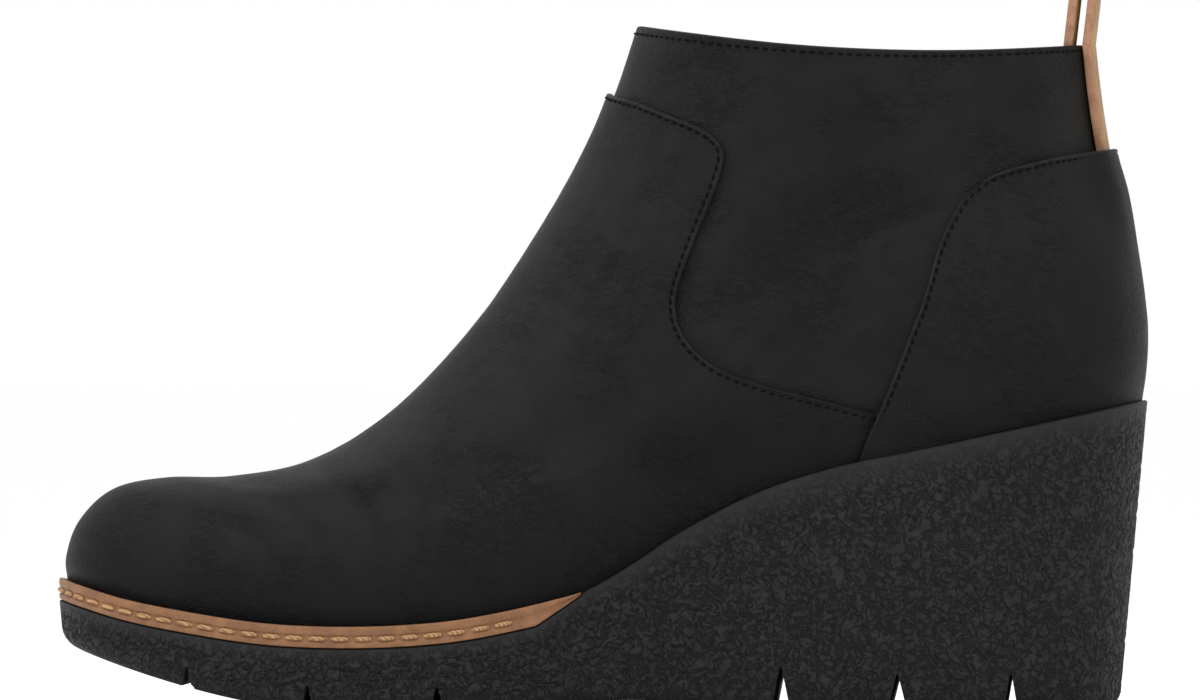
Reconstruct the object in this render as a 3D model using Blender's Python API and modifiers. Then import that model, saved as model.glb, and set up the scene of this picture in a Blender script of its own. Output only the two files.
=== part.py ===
"""A wedge ankle boot for the left foot, in metres, with +Z up.

The toe points to -X, the heel to +X and the outer side of the foot to -Y. The boot stands on z = 0.
The upper is a stack of closed rings: each one runs from a front point on the instep or toe to a back
point on the heel, and its half-widths are given at a few angles. Everything else takes its place
from that stack: the panels, the welt, the cup in the rubber, the insole and the pull loop.
"""

import math

import bmesh
import bpy
import numpy as np

# Driving sizes of the last
UPPER_LENGTH = 0.2387
BALL_WIDTH = 0.081
HEEL_WIDTH = 0.064
COLLAR_LENGTH = 0.1005
COLLAR_WIDTH = 0.0592
COLLAR_SETBACK = 0.0112
COLLAR_FRONT_HEIGHT = 0.153
COLLAR_BACK_HEIGHT = 0.1485
BALL_HEIGHT = 0.0182
TOE_LIFT = 0.0103
HEEL_HEIGHT = 0.0686

# Driving sizes of the leather
WALL = 0.0017
OVERLAY = 0.0013
GAP = 0.0003
INSOLE_THICKNESS = 0.003

# Driving sizes of the rubber and the welt
TOE_SPRING = 0.0133
ARCH_RISE = 0.0018
DRAFT = math.radians(5.2)
EDGE_RADIUS = 0.0032
WELT_HEIGHT = 0.0048
WELT_TAPER = 0.0115
FORE_LEDGE = 0.0034
HEEL_LEDGE = 0.0028
BORDER_HEIGHT = 0.0032
BORDER_STEP = 0.0004

# Driving sizes of the pull loop
STRAP_WIDTH = 0.013
STRAP_THICKNESS = 0.0021
LOOP_HEIGHT = 0.0155
LOOP_LEAN = 0.0018
LOOP_INNER_LENGTH = 0.012

# How finely the forms are sampled
RING_STEPS = 60
ANGLE_STEP = 360 / RING_STEPS

# Rings of the last. forward and rise place the front point between the toe and the front of the
# collar. lean and lift place the back point between the heel and the back of the collar. sag is how
# much of the feather line's curve the ring keeps, and dip is its fall at mid-length as a share of
# the collar's height. The last six are half-widths at 20 to 160 degrees round from the toe, the
# first three as shares of the ball's and the others of the heel's half-width.
RINGS = [
    # name        forward  rise   lean    lift   sag   dip     a20    a40    a70    a100   a140   a160
    ("feather",    0.000, 0.000,  0.000, 0.000, 1.00, 0.000,  0.420, 0.750, 0.963, 0.965, 0.935, 0.610),
    ("bulge",     -0.002, 0.040, -0.071, 0.068, 1.00, 0.000,  0.444, 0.789, 1.005, 0.990, 0.965, 0.635),
    ("toe_mid",    0.020, 0.100, -0.116, 0.143, 1.00, 0.000,  0.419, 0.766, 1.010, 1.015, 0.985, 0.645),
    ("toe_up",     0.076, 0.152, -0.116, 0.212, 1.00, 0.000,  0.360, 0.682, 0.965, 1.025, 0.990, 0.635),
    ("toe_top",    0.166, 0.171, -0.080, 0.268, 1.00, 0.000,  0.311, 0.635, 0.907, 1.022, 0.985, 0.617),
    ("vamp_low",   0.284, 0.174, -0.027, 0.330, 0.95, 0.000,  0.324, 0.661, 0.842, 1.015, 0.972, 0.600),
    ("vamp",       0.429, 0.205,  0.045, 0.393, 0.85, 0.000,  0.340, 0.653, 0.797, 1.008, 0.955, 0.568),
    ("instep_low", 0.574, 0.296,  0.205, 0.474, 0.70, 0.000,  0.295, 0.590, 0.791, 1.010, 0.936, 0.527),
    ("instep",     0.718, 0.449,  0.420, 0.568, 0.50, 0.000,  0.275, 0.548, 0.815, 0.987, 0.887, 0.469),
    ("instep_up",  0.825, 0.607,  0.652, 0.662, 0.30, 0.003,  0.295, 0.590, 0.850, 0.967, 0.846, 0.426),
    ("ankle",      0.913, 0.763,  0.786, 0.762, 0.15, 0.008,  0.326, 0.646, 0.894, 0.950, 0.808, 0.397),
    ("shaft",      0.961, 0.880,  0.902, 0.875, 0.05, 0.015,  0.356, 0.696, 0.945, 0.953, 0.789, 0.391),
    ("collar",     1.000, 1.000,  1.000, 1.000, 0.00, 0.022,  0.405, 0.787, 1.000, 0.973, 0.784, 0.392),
]
WIDTH_ANGLES = (20, 40, 70, 100, 140, 160)

# The feather line, where the upper leaves the rubber or the welt. toe_lift and wedge_rise are shares
# of TOE_LIFT and of the rise from ball to heel.
FEATHER = [
    # along  toe_lift wedge_rise
    (-0.016, 1.049, 0.000),
    (0.008, 0.874, 0.000),
    (0.044, 0.631, 0.000),
    (0.116, 0.301, 0.000),
    (0.188, 0.068, 0.000),
    (0.250, 0.000, 0.000),
    (0.319, 0.000, 0.008),
    (0.362, 0.000, 0.026),
    (0.418, 0.000, 0.073),
    (0.455, 0.000, 0.115),
    (0.491, 0.000, 0.167),
    (0.533, 0.000, 0.282),
    (0.569, 0.000, 0.397),
    (0.605, 0.000, 0.494),
    (0.641, 0.000, 0.579),
    (0.706, 0.000, 0.687),
    (0.807, 0.000, 0.790),
    (0.930, 0.000, 0.917),
    (1.014, 0.000, 1.008),
]

# The curve of a left foot: how far the middle lies towards the inner side, as a share of BALL_WIDTH
CENTRE_LINE = [
    # along  inwards
    (0.00, 0.062),
    (0.15, 0.043),
    (0.28, 0.012),
    (0.38, -0.018),
    (0.58, -0.031),
    (0.80, -0.006),
    (1.00, 0.000),
]

# Edges of the vamp panel: its side seam as an angle for each ring, and its top edge as a ring for
# each share of the way round from the instep to its corner
VAMP_SIDE = [
    # ring  angle
    (0.0, 119.6),
    (1.0, 119.7),
    (2.0, 120.6),
    (2.6, 119.0),
    (3.6, 112.5),
    (5.1, 102.5),
    (6.5, 92.5),
    (7.3, 85.5),
    (8.0, 78.5),
    (8.6, 71.5),
    (9.2, 68.0),
    (10.2, 65.5),
    (10.7, 64.0),
    (10.9, 61.5),
]
VAMP_TOP = [
    # around ring
    (0.00, 11.95),
    (0.40, 11.88),
    (0.62, 11.72),
    (0.80, 11.53),
    (0.89, 11.38),
    (0.95, 11.20),
    (1.00, 10.90),
]

# Edges of the counter panel, in the same way; its top edge is given from the back to its corner
COUNTER_SIDE = [
    # ring  angle
    (0.0, 119.8),
    (1.0, 120.0),
    (2.0, 121.0),
    (3.7, 122.5),
    (5.7, 122.0),
    (7.5, 120.0),
    (8.8, 120.0),
    (9.3, 121.5),
    (9.6, 124.0),
    (9.8, 127.5),
]
COUNTER_TOP = [
    # around ring
    (0.00, 10.40),
    (0.40, 10.38),
    (0.70, 10.23),
    (0.90, 10.08),
    (1.00, 9.80),
]

# Where the rubber meets the floor, as shares of UPPER_LENGTH from the toe
FOREFOOT_FLAT = (0.217, 0.415)
HEEL_FLAT_START = 0.635
TOE_SPRING_POWER = 1.45

# Lugs: grooves across the bottom, placed along UPPER_LENGTH, with depth and mouth in metres
GROOVES = [
    # along  depth   mouth
    (0.113, 0.0045, 0.0020),
    (0.228, 0.0052, 0.0022),
    (0.350, 0.0049, 0.0026),
    (0.670, 0.0094, 0.0038),
    (0.779, 0.0076, 0.0038),
    (0.885, 0.0077, 0.0027),
]

# Section of the welt, from the upper outwards and from the rubber upwards
WELT_PROFILE = [
    # out   up
    (0.00, 0.00),
    (1.00, 0.00),
    (1.00, 0.22),
    (0.80, 0.30),
    (0.80, 0.58),
    (1.00, 0.66),
    (1.00, 0.92),
    (0.85, 1.00),
    (0.00, 1.00),
]

# Colours, linear
BLACK_LEATHER = (0.022, 0.021, 0.022)
BLACK_RUBBER = (0.028, 0.027, 0.027)
TAN_LEATHER = (0.23, 0.13, 0.06)
LINING_BROWN = (0.16, 0.10, 0.06)

# Shares, angles and counts
FEATHER_RING = 1
UPPER_RINGS = [0, 1, 2, 3, 3.5, 4, 4.5, 5, 6, 6.5, 7, 7.5, 8, 9, 10, 11, 12, 13]
WELT_END = 0.491
WELT_TIP_ANGLE = 88
GROOVE_TIP = 0.0002
MOUTH_ROUNDING = 0.0006
STRAP_END_RING = 9.9
STRAP_MARGIN = 0.0016
STRAP_FADE = 0.003
STRAP_FADE_RINGS = 1.0
STRAP_CLEAR_FADES = 1.6
STRAP_COLUMNS = 4
LOOP_LEG_RINGS = (12, 11, 10.4)
LOOP_SHARES = (0.0, 0.35, 0.7, 0.87, 0.92, 0.965, 0.99, 1.0)
BACK_FROM = 140
SHARP_ANGLE = math.radians(50)
MERGE = 1e-5

TOE_X = -UPPER_LENGTH / 2
HEEL_X = UPPER_LENGTH / 2
COLLAR_BACK_X = HEEL_X - COLLAR_SETBACK
COLLAR_FRONT_X = COLLAR_BACK_X - COLLAR_LENGTH
WEDGE_RISE = HEEL_HEIGHT - BALL_HEIGHT
TOE_HEIGHT = BALL_HEIGHT + TOE_LIFT
TUCK_NARROWING = 0.985
COLLAR_RING = len(RINGS)
OVERLAY_OUTSIDE = GAP + OVERLAY
CUP_OFFSET = OVERLAY_OUTSIDE + GAP


def smooth(knots, values, at):
    """Reads a smooth curve through values at knots; at may be an array."""
    knots = np.asarray(knots, float)
    values = np.asarray(values, float)
    slopes = np.gradient(values, knots, axis=0)
    at = np.clip(np.asarray(at, float), knots[0], knots[-1])
    i = np.clip(np.searchsorted(knots, at, side="right") - 1, 0, len(knots) - 2)
    span = knots[i + 1] - knots[i]
    u = (at - knots[i]) / span
    start = (1 + 2 * u) * (1 - u) ** 2
    end = u ** 2 * (3 - 2 * u)
    lead = u * (1 - u) ** 2 * span
    trail = u ** 2 * (u - 1) * span
    return start * values[i] + end * values[i + 1] + lead * slopes[i] + trail * slopes[i + 1]


def feather_height(x):
    """Height of the feather line above the floor."""
    along = (np.asarray(x, float) - TOE_X) / UPPER_LENGTH
    stations = [row[0] for row in FEATHER]
    heights = [BALL_HEIGHT + row[1] * TOE_LIFT + row[2] * WEDGE_RISE for row in FEATHER]
    return smooth(stations, heights, along)


def ring_values():
    """Front, back and half-widths of each ring in metres, with the tucked edge as the first ring."""
    rows = []
    for _, forward, rise, lean, lift, sag, dip, *shares in RINGS:
        front_x = TOE_X + forward * (COLLAR_FRONT_X - TOE_X)
        front_z = TOE_HEIGHT + rise * (COLLAR_FRONT_HEIGHT - TOE_HEIGHT)
        back_x = HEEL_X - lean * COLLAR_SETBACK
        back_z = HEEL_HEIGHT + lift * (COLLAR_BACK_HEIGHT - HEEL_HEIGHT)
        ball = (BALL_WIDTH + rise * (COLLAR_WIDTH - BALL_WIDTH)) / 2
        heel = (HEEL_WIDTH + rise * (COLLAR_WIDTH - HEEL_WIDTH)) / 2
        widths = [share * ball for share in shares[:3]] + [share * heel for share in shares[3:]]
        rows.append([front_x, front_z, back_x, back_z, sag, dip * COLLAR_FRONT_HEIGHT, rise, *widths])
    tucked = list(rows[0])
    tucked[1] -= WELT_HEIGHT
    tucked[3] -= WELT_HEIGHT
    tucked[7:] = [width * TUCK_NARROWING for width in tucked[7:]]
    return np.array([tucked] + rows)


RING_VALUES = ring_values()


def upper_point(angle, ring):
    """A point of the upper's outer face; angle in degrees from the toe, negative on the outer side."""
    row = smooth(np.arange(len(RING_VALUES)), RING_VALUES, ring)
    front_x, front_z, back_x, back_z, sag, dip, rise = row[:7]
    turn = abs((angle + 180) % 360 - 180)
    side = 1 if (angle % 360) <= 180 else -1
    share = (1 - math.cos(math.radians(turn))) / 2
    x = front_x + (back_x - front_x) * share
    straight = feather_height(front_x) * (1 - share) + feather_height(back_x) * share
    z = front_z + (back_z - front_z) * share + sag * (feather_height(x) - straight)
    z -= dip * 4 * share * (1 - share)
    widths = row[7:]
    angles = [-WIDTH_ANGLES[0], 0, *WIDTH_ANGLES, 180, 360 - WIDTH_ANGLES[-1]]
    padded = [-widths[0], 0, *widths, 0, -widths[-1]]
    along = (x - TOE_X) / UPPER_LENGTH
    stations = [row[0] for row in CENTRE_LINE]
    middle = smooth(stations, [row[1] * BALL_WIDTH for row in CENTRE_LINE], along) * (1 - rise)
    return np.array([x, middle + side * smooth(angles, padded, turn), z])


def upper_normal(angle, ring):
    """The outward unit normal of the upper there."""
    step = 0.05
    top = COLLAR_RING
    around = upper_point(angle + step, ring) - upper_point(angle - step, ring)
    up = upper_point(angle, min(ring + step, top)) - upper_point(angle, max(ring - step, 0))
    normal = np.cross(up, around)
    return normal / np.linalg.norm(normal)


def offset_point(angle, ring, offset):
    """A point at a distance outside the upper's outer face."""
    return upper_point(angle, ring) + offset * upper_normal(angle, ring)


def plan_normal(angle, ring):
    """The outward unit normal of a ring, seen from above."""
    step = 0.5
    along = upper_point(angle + step, ring) - upper_point(angle - step, ring)
    normal = np.array([-along[1], along[0], 0.0])
    return normal / np.linalg.norm(normal)


def place(name, mesh_data, color, roughness):
    """Makes one object of the boot from a bmesh, with its own material."""
    mesh = bpy.data.meshes.new(name)
    mesh_data.to_mesh(mesh)
    mesh_data.free()
    mesh.shade_smooth()
    mesh.set_sharp_from_angle(angle=SHARP_ANGLE)
    material = bpy.data.materials.new(name)
    material.use_nodes = True
    shader = material.node_tree.nodes["Principled BSDF"]
    shader.inputs["Base Color"].default_value = (*color, 1.0)
    shader.inputs["Roughness"].default_value = roughness
    shader.inputs["Metallic"].default_value = 0.0
    mesh.materials.append(material)
    piece = bpy.data.objects.new(name, mesh)
    PARTS.objects.link(piece)
    return piece


def sheet(columns, rows, point):
    """A grid of columns and rows of places, moved to point(column, row) and facing outwards."""
    grid = bmesh.new()
    bmesh.ops.create_grid(grid, x_segments=len(columns) - 1, y_segments=len(rows) - 1, size=0.5)
    for vertex in grid.verts:
        column = columns[round((vertex.co.x + 0.5) * (len(columns) - 1))]
        row = rows[round((vertex.co.y + 0.5) * (len(rows) - 1))]
        vertex.co = point(column, row)
    bmesh.ops.remove_doubles(grid, verts=grid.verts, dist=MERGE)
    bmesh.ops.reverse_faces(grid, faces=grid.faces)
    return grid


def thicken(piece, thickness, side):
    """Gives a sheet its wall: side is 1 outwards, -1 inwards and 0 to both sides."""
    wall = piece.modifiers.new("wall", "SOLIDIFY")
    wall.thickness = thickness
    wall.offset = side
    wall.use_even_offset = True


def loft(rings, closed_section):
    """Joins rings of points. A closed section makes a bar; otherwise the end rings are closed across."""
    mesh_data = bmesh.new()
    loops = [[mesh_data.verts.new(point) for point in ring] for ring in rings]
    count = len(loops[0])
    if closed_section:
        for near, far in zip(loops, loops[1:]):
            for i in range(count):
                mesh_data.faces.new((near[i], near[i - 1], far[i - 1], far[i]))
        mesh_data.faces.new(loops[0])
        mesh_data.faces.new(reversed(loops[-1]))
    else:
        for near, far in zip(loops, loops[1:]):
            for i in range(count):
                mesh_data.faces.new((near[i - 1], near[i], far[i], far[i - 1]))
        half = count // 2
        for loop in (loops[0], loops[-1]):
            mesh_data.faces.new((loop[0], loop[1], loop[-1]))
            mesh_data.faces.new((loop[half - 1], loop[half], loop[half + 1]))
            for i in range(1, half - 1):
                mesh_data.faces.new((loop[i], loop[i + 1], loop[count - i - 1], loop[count - i]))
    bmesh.ops.recalc_face_normals(mesh_data, faces=mesh_data.faces)
    return mesh_data


def make_upper():
    """The hollow upper: quarters, instep and toe in one wall, open at the collar and underneath."""
    angles = np.linspace(-180, 180, RING_STEPS + 1)
    grid = sheet(angles, UPPER_RINGS, upper_point)
    upper = place("upper", grid, BLACK_LEATHER, 0.5)
    thicken(upper, WALL, -1)
    return upper


def facet_point(angle, ring, offset):
    """A point at a distance outside the flat faces of the upper's solid."""
    column = math.floor(angle / ANGLE_STEP)
    across = angle / ANGLE_STEP - column
    row = max(i for i, station in enumerate(UPPER_RINGS[:-1]) if station <= ring)
    low, high = UPPER_RINGS[row:row + 2]
    up = (ring - low) / (high - low)
    edges = []
    for station in (low, high):
        left = offset_point(column * ANGLE_STEP, station, offset)
        right = offset_point((column + 1) * ANGLE_STEP, station, offset)
        edges.append(left * (1 - across) + right * across)
    return edges[0] * (1 - up) + edges[1] * up


def panel(name, side, top, centre, offset, roughness):
    """A panel laid on the upper's own faces: what lies past its edges is drawn in to them."""
    side_rings, side_angles = zip(*side)
    top_shares, top_rings = zip(*top)
    reach = abs(side_angles[-1] - centre)

    def point(turn, ring):
        share = min(abs(turn) / reach, 1)
        ring = min(ring, float(smooth(top_shares, top_rings, share)))
        limit = abs(float(smooth(side_rings, side_angles, ring)) - centre)
        angle = centre + max(-limit, min(limit, turn))
        return facet_point(angle, ring, offset(angle, ring))

    widest = max(abs(angle - centre) for angle in side_angles)
    columns = math.ceil(widest / ANGLE_STEP)
    turns = [i * ANGLE_STEP for i in range(-columns, columns + 1)]
    rings = [ring for ring in UPPER_RINGS if ring < max(top_rings) + 1]
    piece = place(name, sheet(turns, rings, point), BLACK_LEATHER, roughness)
    thicken(piece, OVERLAY, 1)
    return piece


def make_vamp():
    """The panel over toe and instep."""
    return panel("vamp", VAMP_SIDE, VAMP_TOP, 0, lambda angle, ring: GAP, 0.48)


def strap_clearance(angle, ring):
    """How far the counter's inside stands off the upper, with room for the pull loop's outer leg."""
    across = abs(upper_point(angle, ring)[1] - upper_point(180, ring)[1])
    edge = np.clip((STRAP_WIDTH / 2 + STRAP_MARGIN + STRAP_FADE - across) / STRAP_FADE, 0, 1)
    down = np.clip((ring - STRAP_END_RING) / STRAP_FADE_RINGS + STRAP_CLEAR_FADES, 0, 1)
    return GAP + (STRAP_THICKNESS + GAP) * edge * down


def make_counter():
    """The panel round the heel, which passes over the pull loop's outer leg."""
    return panel("counter", COUNTER_SIDE, COUNTER_TOP, 180, strap_clearance, 0.45)


def sole_stations():
    """Angles round the sole: the upper's own and the tips of the welt."""
    angles = {i * ANGLE_STEP for i in range(RING_STEPS)}
    return sorted(angles | {WELT_TIP_ANGLE, 360 - WELT_TIP_ANGLE})


def rim_height(x):
    """Top of the rubber: under the welt at the forefoot, and at the feather line along the wedge."""
    covered = np.clip((TOE_X + WELT_END * UPPER_LENGTH - x) / WELT_TAPER, 0, 1)
    return feather_height(x) - WELT_HEIGHT * covered


def floor_gap(x):
    """Height of the rubber's underside: toe spring, forefoot flat, arch and heel flat."""
    along = (x - TOE_X) / UPPER_LENGTH
    start, end = FOREFOOT_FLAT
    if along < start:
        return TOE_SPRING * ((start - along) / start) ** TOE_SPRING_POWER
    if end < along < HEEL_FLAT_START:
        return ARCH_RISE * math.sin(math.pi * (along - end) / (HEEL_FLAT_START - end)) ** 0.7
    return 0.0


def ledge(angle):
    """How far the rubber's top edge stands outside the upper's form."""
    share = (1 - math.cos(math.radians(angle))) / 2
    return FORE_LEDGE + share * (HEEL_LEDGE - FORE_LEDGE)


def wall_point(angle, depth, inset):
    """A point of the rubber's drafted side, at a depth under its rim."""
    normal = plan_normal(angle, FEATHER_RING)
    edge = upper_point(angle, FEATHER_RING) + normal * ledge(angle)
    point = edge - normal * (depth * math.tan(DRAFT) + inset)
    point[2] = rim_height(edge[0]) - depth
    return point


def bottom_point(angle, inset, lift):
    """A point at a height above the rubber's underside, at an inset from its side."""
    depth = WELT_HEIGHT
    for _ in range(4):
        point = wall_point(angle, depth, inset)
        depth = depth + point[2] - floor_gap(point[0]) - lift
    return wall_point(angle, depth, inset)


def seat_point(angle, height):
    """A point of the cup's wall, at a height over the tucked edge of the upper."""
    normal = plan_normal(angle, FEATHER_RING)
    point = upper_point(angle, FEATHER_RING) + normal * CUP_OFFSET
    point[2] = height(point[0])
    return point


def make_sole():
    """The rubber unit: flat spots, toe spring, arch and wedge, with a cup for the upper's edge."""
    stations = sole_stations()
    bend = EDGE_RADIUS * (1 - math.sqrt(0.5))
    rings = [
        [bottom_point(angle, EDGE_RADIUS, 0) for angle in stations],
        [bottom_point(angle, bend, bend) for angle in stations],
        [bottom_point(angle, 0, EDGE_RADIUS) for angle in stations],
        [wall_point(angle, BORDER_HEIGHT, BORDER_STEP) for angle in stations],
        [wall_point(angle, BORDER_HEIGHT - BORDER_STEP, 0) for angle in stations],
        [wall_point(angle, BORDER_STEP, 0) for angle in stations],
        [wall_point(angle, 0, BORDER_STEP) for angle in stations],
        [seat_point(angle, rim_height) for angle in stations],
        [seat_point(angle, lambda x: feather_height(x) - WELT_HEIGHT - GAP) for angle in stations],
    ]
    sole = place("wedge_sole", loft(rings, False), BLACK_RUBBER, 0.75)
    cut = sole.modifiers.new("grooves", "BOOLEAN")
    cut.operation = "DIFFERENCE"
    cut.solver = "EXACT"
    cut.object = make_groove_cutter()
    return sole


def make_groove_cutter():
    """The lugs' grooves: upside-down V bars across the whole sole, with rounded mouths."""
    cutter = bmesh.new()
    for along, depth, mouth in GROOVES:
        x = TOE_X + along * UPPER_LENGTH
        z = floor_gap(x)
        half = mouth / 2
        outline = [
            (-half - 2 * MOUTH_ROUNDING, -depth),
            (half + 2 * MOUTH_ROUNDING, -depth),
            (half + MOUTH_ROUNDING, 0),
            (half, MOUTH_ROUNDING),
            (GROOVE_TIP, depth - GROOVE_TIP),
            (0, depth),
            (-GROOVE_TIP, depth - GROOVE_TIP),
            (-half, MOUTH_ROUNDING),
            (-half - MOUTH_ROUNDING, 0),
        ]
        corners = [cutter.verts.new((x + run, -BALL_WIDTH, z + rise)) for run, rise in outline]
        face = cutter.faces.new(corners)
        bar = bmesh.ops.extrude_face_region(cutter, geom=[face])["geom"]
        moved = [item for item in bar if isinstance(item, bmesh.types.BMVert)]
        bmesh.ops.translate(cutter, verts=moved, vec=(0, 2 * BALL_WIDTH, 0))
    bmesh.ops.recalc_face_normals(cutter, faces=cutter.faces)
    mesh = bpy.data.meshes.new("groove_cutter")
    cutter.to_mesh(mesh)
    cutter.free()
    piece = bpy.data.objects.new("groove_cutter", mesh)
    piece.hide_render = True
    piece.display_type = "WIRE"
    CUTTERS.objects.link(piece)
    return piece


def make_welt():
    """The leather rand round the forefoot, with its stitched channel between two beads."""
    angles = [angle for angle in sole_stations() if angle <= WELT_TIP_ANGLE]
    angles = [-angle for angle in reversed(angles[1:])] + angles
    sections = []
    for angle in angles:
        normal = plan_normal(angle, FEATHER_RING)
        base = upper_point(angle, FEATHER_RING)
        section = []
        for out, up in WELT_PROFILE:
            point = base + normal * (CUP_OFFSET + out * (ledge(abs(angle)) - CUP_OFFSET))
            bottom = rim_height(point[0]) + GAP
            point[2] = bottom + up * (feather_height(point[0]) - bottom)
            section.append(point)
        sections.append(section)
    return place("welt", loft(sections, True), TAN_LEATHER, 0.6)


def make_insole():
    """The board and sock that cover the rubber inside the upper."""
    rings = []
    for lift in (0, INSOLE_THICKNESS):
        ring = []
        for angle in sole_stations():
            point = upper_point(angle, 0) - plan_normal(angle, 0) * (WALL + GAP)
            point[2] = feather_height(point[0]) - WELT_HEIGHT + lift
            ring.append(point)
        rings.append(ring)
    return place("insole", loft(rings, False), LINING_BROWN, 0.7)


def back_point(across, ring, offset):
    """A point on the back of the upper at a distance to one side of its middle, moved out or in."""
    angles = np.linspace(BACK_FROM, 180, 31)
    reach = [abs(upper_point(angle, ring)[1] - upper_point(180, ring)[1]) for angle in angles]
    turn = np.interp(abs(across), reach[::-1], angles[::-1])
    angle = turn if across >= 0 else -turn
    return offset_point(angle, ring, offset)


def loop_point(across, side, height):
    """A point of the loop above the collar; side is -1 on the inner leg and 1 on the outer leg."""
    inner = back_point(across, COLLAR_RING, -(WALL + GAP + STRAP_THICKNESS / 2))
    outer = back_point(across, COLLAR_RING, GAP + STRAP_THICKNESS / 2)
    middle = (inner + outer) / 2
    half_gap = (outer[0] - inner[0]) / 2
    over = max(height - (LOOP_HEIGHT - half_gap), 0) / half_gap
    middle[0] += side * half_gap * math.sqrt(1 - over ** 2) + LOOP_LEAN * height / LOOP_HEIGHT
    middle[2] += height
    return middle


def make_pull_loop():
    """The pull loop: up inside the collar, over, and down the back to under the counter."""
    collar_rise = upper_point(180, COLLAR_RING)[2] - upper_point(180, COLLAR_RING - 1)[2]
    inner_end = COLLAR_RING - LOOP_INNER_LENGTH / collar_rise
    heights = [share * LOOP_HEIGHT for share in LOOP_SHARES]

    def point(across, step):
        kind, value = step
        if kind == "inside":
            return back_point(across, value, -(WALL + GAP + STRAP_THICKNESS / 2))
        if kind == "outside":
            return back_point(across, value, GAP + STRAP_THICKNESS / 2)
        return loop_point(across, kind, value)

    steps = [("inside", inner_end)]
    steps += [(-1, height) for height in heights]
    steps += [(1, height) for height in reversed(heights[:-1])]
    steps += [("outside", ring) for ring in (*LOOP_LEG_RINGS, STRAP_END_RING)]
    widths = np.linspace(-STRAP_WIDTH / 2, STRAP_WIDTH / 2, STRAP_COLUMNS + 1)
    loop = place("pull_loop", sheet(widths, steps, point), TAN_LEATHER, 0.5)
    thicken(loop, STRAP_THICKNESS, 0)
    return loop


def centre_on_floor(pieces):
    """Parents the boot to an empty that puts the middle of its box over the origin."""
    holder = bpy.data.objects.new("boot", None)
    PARTS.objects.link(holder)
    graph = bpy.context.evaluated_depsgraph_get()
    corners = []
    for piece in pieces:
        piece.parent = holder
        evaluated = piece.evaluated_get(graph)
        corners += [tuple(corner) for corner in evaluated.bound_box]
    corners = np.array(corners)
    middle = (corners.min(axis=0) + corners.max(axis=0)) / 2
    holder.location = (-middle[0], -middle[1], 0)


for old in list(bpy.data.objects):
    bpy.data.objects.remove(old)

PARTS = bpy.data.collections.new("wedge_ankle_boot")
CUTTERS = bpy.data.collections.new("cutters")
bpy.context.scene.collection.children.link(PARTS)
bpy.context.scene.collection.children.link(CUTTERS)

centre_on_floor([
    make_sole(),
    make_welt(),
    make_insole(),
    make_upper(),
    make_vamp(),
    make_counter(),
    make_pull_loop(),
])
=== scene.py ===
# %% [markdown]
# # A wedge ankle boot for the left foot
# The boot stands on its rubber with the toe towards -X and its outer side towards -Y, the camera.
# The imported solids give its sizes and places. Each cell below dresses one of them: leather panels,
# rubber, welt, threads and lining. Everything is in metres.

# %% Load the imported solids
import math

import bmesh
import bpy
import numpy as np
from mathutils import Matrix, Vector, noise


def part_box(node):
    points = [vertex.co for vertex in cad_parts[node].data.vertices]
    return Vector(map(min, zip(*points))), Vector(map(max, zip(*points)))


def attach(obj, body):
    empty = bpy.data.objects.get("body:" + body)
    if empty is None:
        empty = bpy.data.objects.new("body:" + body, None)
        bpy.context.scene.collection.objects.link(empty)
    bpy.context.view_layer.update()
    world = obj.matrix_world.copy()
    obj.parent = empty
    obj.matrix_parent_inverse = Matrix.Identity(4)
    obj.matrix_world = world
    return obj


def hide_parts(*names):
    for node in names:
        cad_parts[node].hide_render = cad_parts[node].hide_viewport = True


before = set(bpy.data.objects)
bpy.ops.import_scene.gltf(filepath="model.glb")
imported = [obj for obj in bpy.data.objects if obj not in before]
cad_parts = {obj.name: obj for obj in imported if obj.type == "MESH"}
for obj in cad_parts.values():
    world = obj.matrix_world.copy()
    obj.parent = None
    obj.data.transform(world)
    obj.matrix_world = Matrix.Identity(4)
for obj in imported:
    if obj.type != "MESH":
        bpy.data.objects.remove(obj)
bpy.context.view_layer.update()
MM = 0.001
print("solids:", sorted(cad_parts))

# %% [markdown]
# A shoemaker shapes a boot over a last. Here the last is a stack of closed rings, each from a front
# point on toe or instep to a back point on the heel, with half-widths at a few angles. The solids
# were made from the same stack, so leather laid on it fits them. Points of many vertices are worked
# out at once with numpy, because the leather grids are fine.

# %% Sizes of the last, as in the solids
UPPER_LENGTH = 0.2387
BALL_WIDTH = 0.081
HEEL_WIDTH = 0.064
COLLAR_LENGTH = 0.1005
COLLAR_WIDTH = 0.0592
COLLAR_SETBACK = 0.0112
COLLAR_FRONT_HEIGHT = 0.153
COLLAR_BACK_HEIGHT = 0.1485
BALL_HEIGHT = 0.0182
TOE_LIFT = 0.0103
HEEL_HEIGHT = 0.0686
WALL = 0.0017
OVERLAY = 0.0013
GAP = 0.0003
WELT_HEIGHT = 0.0048
FORE_LEDGE = 0.0034
HEEL_LEDGE = 0.0028

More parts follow.
